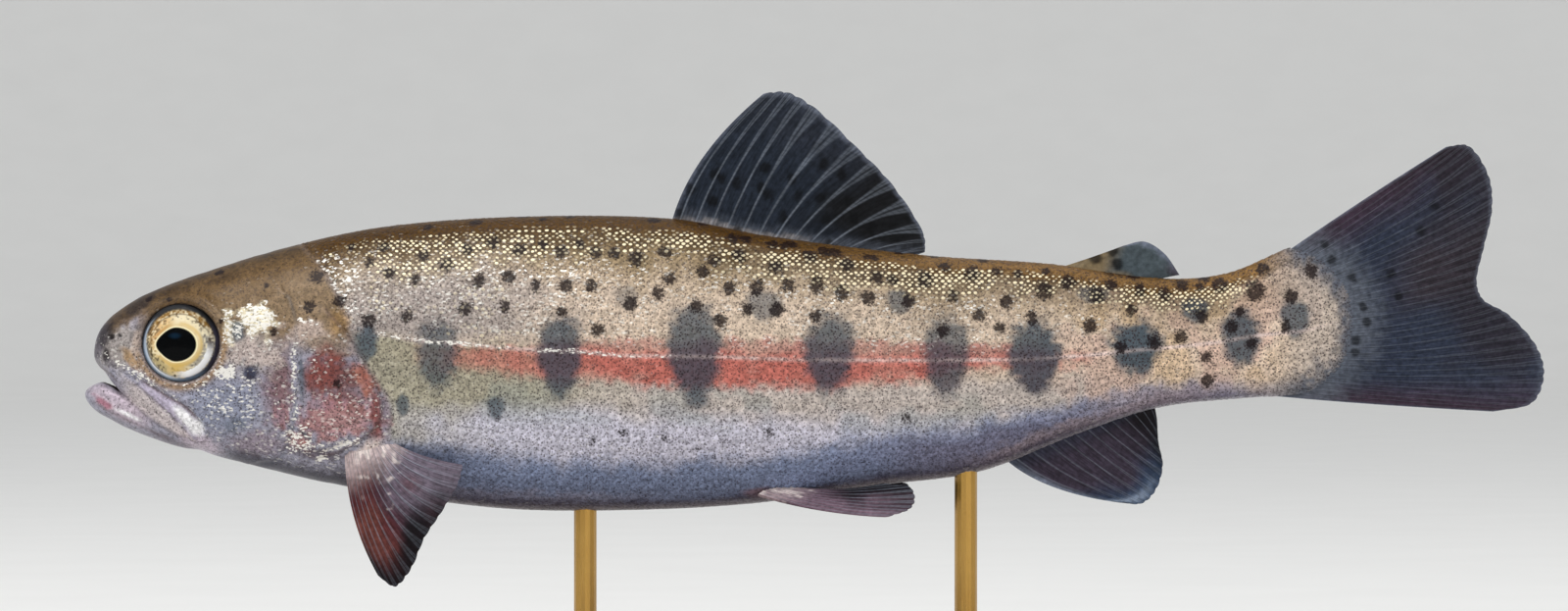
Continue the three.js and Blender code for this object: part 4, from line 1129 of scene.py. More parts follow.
def makeScales(name, side, roots, template, faces, material):
    # one piece of the coat: the template set on every root, tilted and turned a little by chance
    random = np.random.default_rng(11 + len(roots))
    count = len(roots)
    jitter = random.normal(0, scaleMake["jitter"], (count, 2))
    turn = random.normal(0, scaleMake["turn"], count)
    # neighbours along a row look alike, so faint lines run down the flank
    streak = cloud(np.column_stack([roots[:, 0] / 9, roots[:, 1] / 0.33, np.full(count, side)]), 1.0, 12)
    even = np.round(roots[:, 1] / scaleMake["row"] / scaleShare(roots[:, 0])) % 2 - 0.5
    chance = 0.62 * random.random(count) + 0.38 * (0.5 + 2.2 * (streak - 0.5)) + 0.24 * even
    onLength, onWidth, onHeight = template.T[:, None]
    lengthwise = (onLength - 0.55) * scaleMake["length"]
    across = onWidth * scaleMake["width"] / 2
    c, s = np.cos(turn)[:, None], np.sin(turn)[:, None]
    size = roots[:, 2:3]
    along = roots[:, 0:1] + jitter[:, 0:1] + size * (lengthwise * c - across * s)
    reach = roots[:, 1:2] + jitter[:, 1:2] + size * (lengthwise * s + across * c)
    along = np.clip(along, girth["along"][0], girth["along"][-1])
    rise = scaleMake["root"] + (scaleMake["rim"] - scaleMake["root"]) * onLength + onHeight
    tilt = random.normal(0, 0.012, (count, 1)) * (onLength - 0.3)
    points, normals = roundBody(along.ravel(), reach.ravel(), np.full(along.size, side))
    points += normals * (rise + tilt).ravel()[:, None]
    piece, corners = meshOfCopies(name, points, faces, count)
    storePaint(piece, points)
    scaleMap = np.stack(np.broadcast_arrays(onLength, onWidth, np.clip(chance, 0, 1)[:, None]), axis=-1)
    storeVector(piece, "scaleMap", scaleMap.reshape(-1, 3))
    # each scale bakes into a small patch at its root's place on the unrolled skin
    fromBack = np.interp(roots[:, 0], girth["along"], girth["above"]) - roots[:, 1]
    mapX = roots[:, 0:1] / fishPlace["length"] + 0.003 * (onLength - 0.5)
    mapY = (0.5 + side * fromBack / 52)[:, None] + 0.0015 * onWidth
    patch = np.stack([mapX, mapY], axis=-1)
    # each scale gets a small patch of the OFBake map at its root's place on the unrolled skin
    layer = piece.data.uv_layers.new(name="OFBake")
    layer.data.foreach_set("uv", patch.reshape(-1, 2)[corners].astype(np.float32).ravel())
    activate(piece)
    bpy.ops.object.shade_smooth_by_angle(angle=math.radians(50))
    piece.data.materials.append(material)
    setInPlace(piece)
    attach(piece, "root")
    return countTriangles(piece)


def makeCoat():
    material = makeScaleMaterial()
    template, faces = scaleTemplate()
    total = 0
    for sideName, side in sides.items():
        roots = scaleRoots(side)
        part = np.searchsorted(scaleMake["cuts"], roots[:, 0])
        for i, partName in enumerate(("front", "middle", "rear")):
            name = f"scales_{partName}_{sideName}"
            total += makeScales(name, side, roots[part == i], template, faces, material)
    print("scales:", total, "triangles")


makeCoat()


# Fins: fans of bony rays between a root, a bend and an edge, as (along, up) or (along, up, out).
finShapes = {
    "dorsal": {
        "root": [(56.1, 11.6), (62.5, 10.5), (69, 9.4), (76.3, 8.4)],
        "bend": [(57.6, 18.5), (65.2, 17.6), (72.6, 13.4), (78.6, 8.8)],
        "edge": [(65.2, 24.75), (67.3, 24.85), (69.8, 23.5), (74.2, 19.4), (77.6, 15.8), (80.5, 11.1),
                 (80.6, 9.5)],
        "thick": (0.95, 0.16), "rays": 13, "across": 150, "outward": 70, "rayShine": 0.28,
        "replaces": "fin_dorsal", "slot": "fin"},
    "adipose": {
        "root": [(92.2, 7.6), (97.4, 6.8), (101.6, 6)],
        "bend": [(96.2, 8.8), (99.5, 8.2), (101.9, 6.8)],
        "edge": [(99.6, 10.1), (101.6, 10.5), (103.5, 9.4), (105, 7.3)],
        "thick": (1.1, 0.35), "rays": 0, "across": 50, "outward": 30, "rayShine": 0,
        "replaces": "fin_adipose", "slot": "fin"},
    "tail": {
        "root": [(112.4, 7.5), (116, 6.2), (118, 3), (116, -0.8), (113, -4.2)],
        "bend": [(121, 13.6), (125, 8.6), (126, 3.6), (125, -2.2), (122, -5.1)],
        "edge": [(130.6, 19.6), (132.7, 19.7), (134.7, 16.8), (135, 13.6), (134.2, 10), (133.5, 6.6),
                 (134.1, 5), (136.6, 3.5), (139.3, 0.4), (139.97, -2.2), (138.9, -4.9), (135.2, -5.8)],
        "thick": (1.25, 0.14), "rays": 34, "across": 240, "outward": 90, "rayShine": 0.12,
        "replaces": "fin_caudal", "slot": "fin"},
    "anal": {
        "root": [(88, -10.1), (92.6, -8.1), (96.2, -6.8), (99.6, -5.6), (102.4, -4.6)],
        "bend": [(91.6, -13.55), (96.4, -11.4), (99, -9.3), (101.3, -7.2), (102.7, -5.5)],
        "edge": [(99.4, -14.55), (101.4, -14.6), (102.7, -13.4), (103.4, -11), (103, -8.8), (102.85, -6.6)],
        "thick": (0.9, 0.15), "rays": 12, "across": 120, "outward": 60, "rayShine": 0.2,
        "replaces": "fin_anal", "slot": "fin"},
    "pectoral": {
        "root": [(25.3, -9.7, 4.9), (27.4, -9, 5.3), (29.8, -8.6, 5.6)],
        "bend": [(25.6, -16, 7.3), (28.6, -14.6, 7.9), (32.4, -10.0, 7.6)],
        "edge": [(28.7, -21.2, 8.6), (30.3, -22.2, 8.9), (31.7, -20.7, 9.2), (33.1, -17.6, 9.3),
                 (34.7, -15.2, 9.2), (36.2, -12.5, 8.8), (36.7, -10.7, 8.4)],
        "thick": (0.9, 0.16), "rays": 14, "across": 130, "outward": 70, "rayShine": 0.5, "tipShine": 0.2,
        "farSweep": 1.5, "replaces": "fin_pectoral", "slot": "paired_fin"},
    "pelvic": {
        "root": [(64.6, -13.7, 3.4), (66.2, -13.4, 2.7), (67.8, -13.2, 1.9)],
        "bend": [(70.5, -15.5, 5.6), (72, -14.5, 4.2), (72.6, -13.4, 2.4)],
        "edge": [(76.8, -15.6, 7.3), (78.7, -15.1, 6.9), (79.5, -14.0, 5.8), (79, -12.9, 4.4),
                 (76.6, -12.6, 2.9)],
        "thick": (0.95, 0.16), "rays": 10, "across": 90, "outward": 60, "rayShine": 0.5,
        "replaces": "fin_pelvic", "slot": "paired_fin"},
}
finPigments = {
    "slate": "#1e242e", "slateTip": "#252932", "base": "#50555f", "tailSlate": "#2b3140",
    "maroon": "#3b2b36", "slateBrown": "#111112", "rust": "#623730", "tailWarm": "#372b2b",
    "bloom": "#e8dbd5", "tailBrown": "#262127", "tailFade": "#585d67", "adipose": "#464f54",
    "adiposeBase": "#7f6d50", "anal": "#38313d", "analTip": "#2f425a", "pale": "#a9b8ce",
    "roseBrown": "#4b2427", "blueGrey": "#69626f", "fleshBase": "#c2b0af", "dark": "#110d11",
    "pelvic": "#6d5864", "spot": "#08090b", "backFuzz": "#979190", "lightEdge": "#6f7585",
}
finPigments = {name: srgb(code) for name, code in finPigments.items()}
# Black spots as (along, up), with how wide each is and how flat it lies.
finSpots = {
    "dorsal": {"size": 0.95, "flat": 0.8, "places": [
        (60.4, 16.9), (61, 16.6), (62.5, 16.1), (60.2, 14.5), (64.9, 15.6), (65.5, 15), (67.8, 16.5),
        (68.4, 14.8), (70.5, 14.7), (73.2, 14.4), (58.1, 15.6), (65.3, 17.6), (70.8, 17.9), (72.6, 16.9),
        (67, 12.9), (71.1, 12.7), (73.7, 12.7), (75.5, 11.8), (57, 13.1), (62.6, 11.4), (66.5, 10.4),
        (71.3, 10.1)]},
    "tail": {"size": 0.9, "flat": 1, "places": [
        (122.6, 4.2), (122.9, 2.8), (122, 1), (121.6, 7), (119.7, 8.7), (118.9, 10.2), (121.8, -0.2),
        (128.2, 11.5), (129.5, 13.8), (125.3, 7.4), (125.9, 5.3)]},
}
adiposeSpots = [(96.9, 9.0), (99.0, 8.4), (98.6, 9.6)]


# Each fin's colours, where u runs from 0 to 1 across its rays and v from its root to its edge.
def paintDorsal(wash, u, v, at):
    rough, fine = at.rough, at.fine
    wash("slateTip", ease(v + 0.3 * rough, 0.5, 1.0))
    wash("slateBrown", 0.93 * ease(u + 0.15 * rough, 0.42, 0.66) * ease(v, 0.1, 0.5))
    lift = at.up - bodyLines["back"](at.along)
    wash("base", 0.55 * ease(-lift + 0.8 * rough + 0.4 * fine, -1.3, -0.2))
    wash("backFuzz", 0.65 * ease(-lift + 0.6 * fine + 0.4 * rough, -0.5, 0.0) * ease(-u, -0.8, -0.5))
    wash("lightEdge", 0.5 * ease(v, 0.95, 1.0) + 0.4 * ease(-u, -0.03, -0.005))


def paintTail(wash, u, v, at):
    rough, fine = at.rough, at.fine
    wash("maroon", 0.8 * ease(np.abs(u - 0.5) + 0.05 * rough, 0.3, 0.47))
    wash("tailWarm", 0.6 * ease(-np.abs(u - 0.38) + 0.08 * rough, -0.2, -0.05) * ease(v, 0.35, 0.7))
    wash("tailBrown", 0.8 * ease(v + 0.3 * rough, 0.6, 0.95) * ease(-u + 0.1 * rough, -0.85, -0.7))
    wash("tailFade", 0.85 * ease(-tailGap(at.along, at.up) + 1.2 * rough + 1.6 * fine, -3.9, -0.1))
    wash("lightEdge", 0.35 * ease(v, 0.975, 1.0) + 0.5 * ease(np.abs(u - 0.5), 0.488, 0.497))


def paintAdipose(wash, u, v, at):
    wash("lightEdge", 0.7 * ease(v + 0.1 * at.fine, 0.9, 0.98))
    wash("maroon", 0.6 * ease(v, 0.8, 0.95) * ease(u, 0.75, 0.95))
    front = ease(-at.along + 0.5 * at.up + at.rough, -95.2, -93.2)
    wash("adiposeBase", 0.9 * np.maximum(front, ease(-v + 0.3 * at.rough, -0.3, -0.1)))
    for x, y in adiposeSpots:
        gap = np.hypot(at.along - x, at.up - y)
        wash("spot", 0.85 * ease(-gap + 0.5 * at.fine, -0.8, -0.4))


def paintAnal(wash, u, v, at):
    rough = at.rough
    wash("analTip", 0.8 * ease(v + 0.3 * rough, 0.6, 1.0))
    # painted highlight: a pale arc near the tip; the pale leading edge is the fin's own margin
    streak = ridge(v - 0.95 + 0.1 * rough, 0.04) * ease(-u, -0.55, -0.2)
    wash("pale", 0.5 * streak + 0.3 * ease(-u, -0.05, -0.01))
    wash("dark", 0.95 * ease(u + 0.3 * rough, 0.45, 0.75))
    wash("tailSlate", 0.6 * ease(-v, -0.3, -0.08))


def paintPectoral(wash, u, v, at):
    rough, fine = at.rough, at.fine
    rusty = ease(-np.abs(v - 0.68) + 0.2 * rough, -0.32, -0.08)
    wash("rust", 0.8 * rusty * ease(-u + 0.2 * rough, -0.5, -0.25))
    wash("maroon", 0.7 * ease(-np.abs(u - 0.55) + 0.15 * rough, -0.2, -0.04))
    wash("blueGrey", 0.85 * ease(u + 0.25 * rough, 0.5, 0.8))
    wash("dark", 0.97 * ease(v + 0.25 * rough, 0.72, 0.94) * ease(-u, -0.95, -0.6))
    wash("fleshBase", 0.85 * ease(-v + 0.2 * rough, -0.38, -0.03))
    # pale flesh at the fin's root, brightened by a painted sheen
    bloom = ease(-v + 0.4 * rough + 0.7 * fine, -0.17, 0.02)
    wash("bloom", 0.9 * bloom * ease(-np.abs(u - 0.55), -0.4, -0.15))


def paintPelvic(wash, u, v, at):
    rough, fine = at.rough, at.fine
    wash("maroon", 0.7 * ease(u + 0.3 * rough, 0.4, 0.7) * ease(v, 0.2, 0.5))
    wash("dark", 0.93 * ease(u + 0.3 * rough, 0.47, 0.76) * ease(v, 0.3, 0.6))
    wash("dark", 0.7 * ease(v + 0.3 * rough, 0.6, 0.9) * ease(u, 0.1, 0.35))
    wash("fleshBase", 0.4 * ease(-v + 0.15 * rough, -0.3, -0.08))
    # pale flesh at the fin's root, brightened by a painted sheen
    wash("bloom", 0.5 * ease(-v + 0.3 * rough + 0.7 * fine, -0.1, 0.06))


finPaints = {
    "dorsal": ("slate", paintDorsal), "tail": ("tailSlate", paintTail),
    "adipose": ("adipose", paintAdipose), "anal": ("anal", paintAnal),
    "pectoral": ("roseBrown", paintPectoral), "pelvic": ("pelvic", paintPelvic),
}


def finColour(kind, points, u, v):
    # the colour of a fin's membrane over its ground, with its spots
    at = SimpleNamespace(along=points[:, 0], up=points[:, 2])
    at.rough, at.fine = cloud(points, 2.2, 5) - 0.5, cloud(points, 0.5, 6) - 0.5
    ground, paint = finPaints[kind]
    rgb = np.tile(finPigments[ground], (len(points), 1))
    wash = brush(rgb, finPigments)
    paint(wash, u, v, at)
    if kind in finSpots:
        size, flat = finSpots[kind]["size"], finSpots[kind]["flat"]
        for x, y in finSpots[kind]["places"]:
            gap = np.hypot(at.along - x, (at.up - y) * flat)
            wash("spot", 0.75 * ease(-gap + 0.35 * at.fine, -0.66 * size, -0.3 * size))
    return np.clip(rgb, 0, 1)


def finPlace(shape, u, v, side):
    # points of the fin's middle sheet
    def along(curve):
        points = np.array(shape[curve], float)
        if points.shape[1] == 2:
            points = np.column_stack([points, np.zeros(len(points))])
        points = points[:, [0, 2, 1]] * [1, side, 1]
        return curveAt(points, u * (len(points) - 1))

    w = v[:, None]
    places = along("root") * (1 - w) ** 2 + 2 * w * (1 - w) * along("bend") + along("edge") * w ** 2
    if side > 0 and "farSweep" in shape:
        places[:, 0] -= shape["farSweep"] * v  # the right fin lies a little further forward
    return places


def rayPattern(u, v, rays):
    # 1 on a ray's line: each ray parts in two and then in four on its way out
    offset = np.abs((u * rays) % 1 - 0.5)
    once = np.abs(offset - 0.16 * np.clip((v - 0.5) / 0.5, 0, 1))
    twice = np.abs(once - 0.07 * np.clip((v - 0.75) / 0.25, 0, 1))
    return np.exp(-(twice / 0.13) ** 2)


def makeFin(kind, shape, side, name, node, material):
    bpy.ops.mesh.primitive_grid_add(x_subdivisions=shape["across"], y_subdivisions=shape["outward"], size=2)
    fin = bpy.context.object
    fin.name = name
    u, v = (readPoints(fin)[:, :2].T + 1) / 2
    step = 1e-3
    flat = finPlace(shape, u, v, side)
    u0, v0 = np.clip(u, step, 1 - step), np.clip(v, step, 1 - step)
    across = finPlace(shape, u0 + step, v0, side) - finPlace(shape, u0 - step, v0, side)
    outward = finPlace(shape, u0, v0 + step, side) - finPlace(shape, u0, v0 - step, side)
    normals = np.cross(across, outward)
    normals /= np.linalg.norm(normals, axis=1)[:, None] + 1e-12
    if shape["rays"]:
        scallop = (0.004 if kind == "tail" else 0.009) * (np.abs((u * shape["rays"]) % 1 - 0.5) * 2) ** 2
        flat = finPlace(shape, u, v * (1 - scallop * v ** 3), side)
    spread = finPlace(shape, u, np.ones(len(u)), side) - finPlace(shape, u, np.zeros(len(u)), side)
    spread = np.linalg.norm(spread, axis=1)
    swing = 0.22 if kind in ("dorsal", "tail") else 0.088
    wave = swing * v ** 2 * np.sin(2 * np.pi * (2.2 * u + 0.35 * v))
    flat += normals * wave[:, None]
    thickRoot, thickEdge = shape["thick"]
    half = (thickRoot + (thickEdge - thickRoot) * ease(v, -0.3, 0.75)) / 2
    rimGap = np.minimum(np.minimum(u, 1 - u) * 6, (1 - v) * 10)
    half *= 0.35 + 0.65 * ease(rimGap, 0, 1)
    if shape["rays"]:
        half += (0.075 - 0.05 * v) * rayPattern(u, v, shape["rays"])
    writePoints(fin, flat)
    applyModifier(fin, "SOLIDIFY", thickness=0.02, offset=0)
    front = flat + normals * half[:, None]
    back = flat - normals * half[:, None]
    shells = readPoints(fin)
    near = ((shells[:len(flat)] - flat) * normals).sum(axis=1).mean() > 0
    writePoints(fin, np.concatenate([front, back] if near else [back, front]))
    turnOutwards(fin)
    allU, allV, allSpread = np.tile(u, 2), np.tile(v, 2), np.tile(spread, 2)
    tipShine = shape.get("tipShine", 0.55)
    rayShine = shape["rayShine"] * (tipShine + (1 - tipShine) * ease(-allV, -0.92, -0.4))
    storeColour(fin, "tone", finColour(kind, readPoints(fin), allU, allV), rayShine)
    storeVector(fin, "finMap", np.column_stack([allU * max(shape["rays"], 1), allV, allV * allSpread]))
    activate(fin)
    bpy.ops.object.shade_smooth_by_angle(angle=math.radians(60))
    fin.data.materials.append(material)
    setInPlace(fin)
    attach(fin, "root")
    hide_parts(node)
    return countTriangles(fin)


finDetail = {"grain": 0.4, "joint": 0.55, "ray": "#a9b2c0"}  # grain and joints in millimetres


def makeFinMaterial(name, hasRays):
    # Fin membrane: thin leathery skin stretched over jointed bony rays, moist and faintly glossy.
    material, tree = startMaterial(name)
    place = addNode(tree, "TexCoord").outputs["Object"]
    tone = addNode(tree, "Attribute", {"attribute_name": "tone"})
    onFin = addNode(tree, "Attribute", {"attribute_name": "finMap"})
    part = addNode(tree, "SeparateXYZ", {}, {"Vector": onFin.outputs["Vector"]})
    grain = addNode(tree, "TexNoise", {"Scale": perMetre(finDetail["grain"]), "Detail": 3.0},
                    {"Vector": place})
    lighter = addNode(tree, "MapRange", {"From Min": 0.3, "From Max": 0.7, "To Min": 0.72, "To Max": 1.3},
                      {"Value": grain})
    colour = addNode(tree, "VectorMath", {"operation": "SCALE"}, {"Vector": tone, "Scale": lighter})
    height = grain
    if hasRays:
        # fine streaks along the membrane: 7 to a ray, and each about 2 mm long
        stretched = addNode(tree, "VectorMath", {"operation": "MULTIPLY", 1: (7, 0, 0.5)},
                            {0: onFin.outputs["Vector"]})
        streaks = addNode(tree, "TexNoise", {"Scale": 1.0, "Detail": 2.0}, {"Vector": stretched})
        streaked = addNode(tree, "MapRange",
                           {"From Min": 0.3, "From Max": 0.7, "To Min": 0.62, "To Max": 1.45},
                           {"Value": streaks})
        colour = addNode(tree, "VectorMath", {"operation": "SCALE"}, {"Vector": colour, "Scale": streaked})
        turnIn = addNode(tree, "Math", {"operation": "FRACT"}, {0: part.outputs[0]})
        centred = addNode(tree, "Math", {"operation": "SUBTRACT", 1: 0.5}, {0: turnIn})
        distance = addNode(tree, "Math", {"operation": "ABSOLUTE"}, {0: centred})
        for start, end, reach in ((0.5, 1.0, 0.16), (0.75, 1.0, 0.07)):  # the rays part twice
            fork = addNode(tree, "MapRange", {"From Min": start, "From Max": end, "To Max": reach},
                           {"Value": part.outputs[1]})
            apart = addNode(tree, "Math", {"operation": "SUBTRACT"}, {0: distance, 1: fork})
            distance = addNode(tree, "Math", {"operation": "ABSOLUTE"}, {0: apart})
        ray = addNode(tree, "MapRange", {"From Min": 0.0, "From Max": 0.09, "To Min": 1.0, "To Max": 0.0},
                      {"Value": distance})
        turns = addNode(tree, "Math", {"operation": "MULTIPLY", 1: 2 * math.pi / finDetail["joint"]},
                        {0: part.outputs[2]})
        joint = addNode(tree, "Math", {"operation": "SINE"}, {0: turns})
        jointed = addNode(tree, "MapRange", {"From Min": -1.0, "From Max": -0.3, "To Min": 0.7},
                          {"Value": joint})
        share = addNode(tree, "Math", {"operation": "MULTIPLY"}, {0: ray, 1: jointed})
        uneven = addNode(tree, "Math", {"operation": "MULTIPLY"}, {0: streaked, 1: tone.outputs["Alpha"]})
        lit = addNode(tree, "Math", {"operation": "MULTIPLY"}, {0: share, 1: uneven})
        colour = addNode(tree, "Mix", {"data_type": "RGBA", 7: rgba(finDetail["ray"])}, {0: lit, 6: colour})
        height = addNode(tree, "Math", {"operation": "ADD"}, {0: share, 1: grain})
    bump = addNode(tree, "Bump", {"Strength": 0.5, "Distance": 0.00008}, {"Height": height})
    shader = addNode(tree, "BsdfPrincipled",
                     {"Roughness": 0.5, "IOR": 1.4, "Specular IOR Level": 0.1, "Coat Weight": 0.03,
                      "Coat Roughness": 0.2},
                     {"Base Color": colour, "Normal": bump})
    finishMaterial(tree, shader)
    return material


def makeFins():
    rayed = makeFinMaterial("rayedFin", True)
    fleshy = makeFinMaterial("fleshyFin", False)
    total = 0
    for kind, shape in finShapes.items():
        material = rayed if shape["rays"] else fleshy
        if shape["slot"] == "paired_fin":
            for sideName, side in sides.items():
                node = f"{shape['replaces']}_{sideName}"
                total += makeFin(kind, shape, side, f"{kind}Fin_{sideName}", node, material)
        else:
            total += makeFin(kind, shape, 1, f"{kind}Fin", shape["replaces"], material)
    print("fins:", total, "triangles")


makeFins()


# Eyes: a domed eyeball with its iris and pupil painted under a clear wet surface.
eyeMake = {
    "mesh": (256, 128), "out": 2.85, "dome": 2.2, "lens": 0.22, "depth": 1.9, "rearward": 0.37,
    "forward": 0.13, "upward": 0.1,  # how far it is turned to the front and up, in radians
}
eyePigments = {
    "iris": "#d9c08c", "cream": "#efe2c0", "gold": "#d6b055", "rim": "#fbeec2", "umber": "#3d2f27",
    "peach": "#e3bd88", "olive": "#a0966f", "bronze": "#8a6835", "amber": "#bb8340", "violet": "#463f50",
    "pupil": "#000102", "glow": "#0b2438", "silver": "#ffffff", "grey": "#9c9a95", "ring": "#4c5562",
    "ringLow": "#76899f", "ringDark": "#2c2b2b", "blue": "#bfcddd", "line": "#141318",
}
eyePigments = {name: srgb(code) for name, code in eyePigments.items()}


def paintEye(points):
    # colours by place behind and above the middle of the ring
    x, y = points[:, 0] - eyePlace["along"] - eyeMake["rearward"], points[:, 2] - eyePlace["up"]
    radius = np.hypot(x, y)
    angle = np.degrees(np.arctan2(y, x))  # 0 at the rear, 90 on top
    rough = cloud(points, 0.55, 8) - 0.5
    fine = cloud(points, 0.17, 9) - 0.5
    rgb = np.tile(eyePigments["iris"], (len(points), 1))
    wash = brush(rgb, eyePigments)

    def facing(middle, halfWidth):
        turn = np.abs((angle - middle + 180) % 360 - 180)
        return ease(-turn, -halfWidth - 25, -halfWidth + 10)

    wash("cream", 0.8 * facing(40, 60) * ease(radius + rough, 1.6, 2.2) + 0.3 * rough + 0.3 * fine)
    wash("peach", 0.8 * facing(150, 30) * ease(radius + rough, 1.8, 2.4))
    wash("grey", 0.85 * facing(-24, 40) * ease(radius, 1.9, 2.3))
    wash("olive", 0.6 * facing(-150, 35) * ease(radius + rough, 2.3, 2.8))
    wash("umber", 0.8 * facing(178, 22) * ridge(radius - 2.95, 0.3) * ease(rough + fine, -0.4, 0.1))
    blotch = ease(1.2 * rough + 1.4 * fine, -0.25, 0.15)
    wash("umber", 0.85 * facing(5, 28) * ease(radius, 2.4, 2.8) * blotch)
    wash("umber", 0.7 * ease(fine + 0.4 * rough, 0.07, 0.22) * ease(radius, 2.1, 2.5))
    wash("cream", 0.8 * ease(-fine - 0.4 * rough, 0.16, 0.3) * facing(70, 140) * ease(radius, 2.0, 2.3))
    wash("gold", 0.6 * facing(-95, 8) * ease(-radius, -3.0, -2.6) * (1 + rough))
    lid = facing(88, 62)
    lidEdge = lid * ease(radius + 0.5 * rough + 0.3 * fine, 2.7, 2.9)
    wash("bronze", lidEdge * (0.72 + 1.4 * fine + 0.5 * rough))
    wash("umber", 0.7 * lid * ridge(radius - 2.78 + 0.3 * rough, 0.08))
    # the iris's silver crescent on its lower rear side: silver guanine with a painted highlight
    crescent = 0.36 - np.abs(radius - 2.98 + 0.0012 * (angle + 90))
    wash("silver", facing(-50, 34) * ease(crescent + 0.16 * fine, 0.0, 0.1))
    ring = ease(radius + 0.1 * fine, 3.24, 3.4)
    wash("ring", ring)
    wash("ringLow", ring * facing(-110, 55))
    wash("ringDark", 0.9 * lid * ease(radius + 0.2 * rough, 3.1, 3.3))
    # painted shade: violet on the ring's rear edge, where it meets the socket
    wash("violet", 0.8 * ring * facing(-10, 30))
    wash("blue", 0.95 * facing(-138, 36) * ridge(radius - 3.36, 0.17))
    # painted highlight: a thin silver line in the blue ring's lower front
    wash("silver", 0.8 * facing(-132, 14) * ridge(radius - 3.3 + 0.1 * rough, 0.07))
    wash("blue", 0.8 * facing(175, 22) * ridge(radius - 3.45, 0.08))
    wash("ringDark", 0.7 * facing(-175, 45) * ridge(radius - 3.2, 0.06))
    wash("line", 0.7 * ease(radius, 3.72, 3.84) * facing(-125, 40))
    wash("line", 0.9 * ease(0.16 - np.hypot(x + 0.5, y + 3.06), 0.0, 0.06))
    px, py = (x + 0.35) / 1.94, (y + 0.09) / 1.62
    pupil = np.hypot(px, py * (1 + 0.5 * np.clip(-px, 0, 1) ** 2))
    wash("gold", 0.6 * ridge(pupil - 1.26, 0.1) * facing(-30, 110))
    wash("amber", 0.7 * ridge(pupil - 1.24, 0.1) * facing(145, 20))
    wash("rim", 0.95 * ease(-pupil, -1.11, -1.06))
    wash("pupil", ease(-pupil, -1.03, -0.98))
    # painted reflection: a dark blue sheen in the upper front of the pupil
    wash("glow", 0.8 * ease(-np.hypot((x + 0.45) / 0.8, (y - 0.75) / 0.4), -1.0, -0.2))
    return np.clip(rgb, 0, 1)


def makeEyeMaterial():
    # Cornea over a painted iris, as in a glass taxidermy eye: mirror-smooth, wet and clear.
    material, tree = startMaterial("glassEye")
    tone = addNode(tree, "Attribute", {"attribute_name": "tone"})
    shader = addNode(tree, "BsdfPrincipled",
                     {"Roughness": 0.4, "Specular IOR Level": 0.02, "Coat Weight": 0.35,
                      "Coat Roughness": 0.02, "Coat IOR": 1.25},
                     {"Base Color": tone})
    finishMaterial(tree, shader)
    return material


def makeEye(sideName, side, material):
    segments, rings = eyeMake["mesh"]
    bpy.ops.mesh.primitive_uv_sphere_add(segments=segments, ring_count=rings, radius=1)
    eye = bpy.context.object
    eye.name = f"eye_{sideName}_ball"
    unit = readPoints(eye)
    fall = np.arccos(np.clip(unit[:, 2], -1, 1)) / (np.pi / 2)  # 0 in front, 1 at the rim, 2 behind
    around = np.arctan2(unit[:, 1], unit[:, 0])
    radius = eyePlace["radius"] * np.where(fall <= 1, fall, 2 - fall)
    share = radius / eyePlace["radius"]
    lens = eyeMake["lens"] * np.exp(-(radius / 1.9) ** 2) * (1 - share)
    front = eyeMake["dome"] * (1 - share ** 3) ** 0.6 + lens
    bulge = np.where(fall <= 1, front, -eyeMake["depth"] * np.sqrt(np.clip(1 - share ** 2, 0, 1)))
    x, y = radius * np.cos(around), radius * np.sin(around)
    turned = y * math.cos(eyeMake["upward"]) + bulge * math.sin(eyeMake["upward"])
    out = bulge * math.cos(eyeMake["upward"]) - y * math.sin(eyeMake["upward"])
    along = x * math.cos(eyeMake["forward"]) - out * math.sin(eyeMake["forward"])
    out = out * math.cos(eyeMake["forward"]) + x * math.sin(eyeMake["forward"])
    along += eyePlace["along"] + eyeMake["rearward"]
    points = np.column_stack([along, side * (eyeMake["out"] + out), eyePlace["up"] + turned])
    writePoints(eye, points)
    turnOutwards(eye)
    storeColour(eye, "tone", paintEye(points), np.ones(len(points)))
    activate(eye)
    bpy.ops.object.shade_smooth()
    eye.data.materials.append(material)
    setInPlace(eye)
    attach(eye, "root")
    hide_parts(f"eye_{sideName}")


eyeMaterial = makeEyeMaterial()
for sideName, side in sides.items():
    makeEye(sideName, side, eyeMaterial)
print("eyes")


# The stand keeps its turned and moulded shapes, in oiled walnut and lacquered brass.
standFinish = {
    "bands": 3.0, "pores": 0.35, "scratches": 0.25, "patina": 4.0,  # millimetres
    "darkWood": "#2f1c12", "paleWood": "#7a5237", "pore": "#22140d", "brass": "#c39a4e", "tarnish": "#a77c36",
}


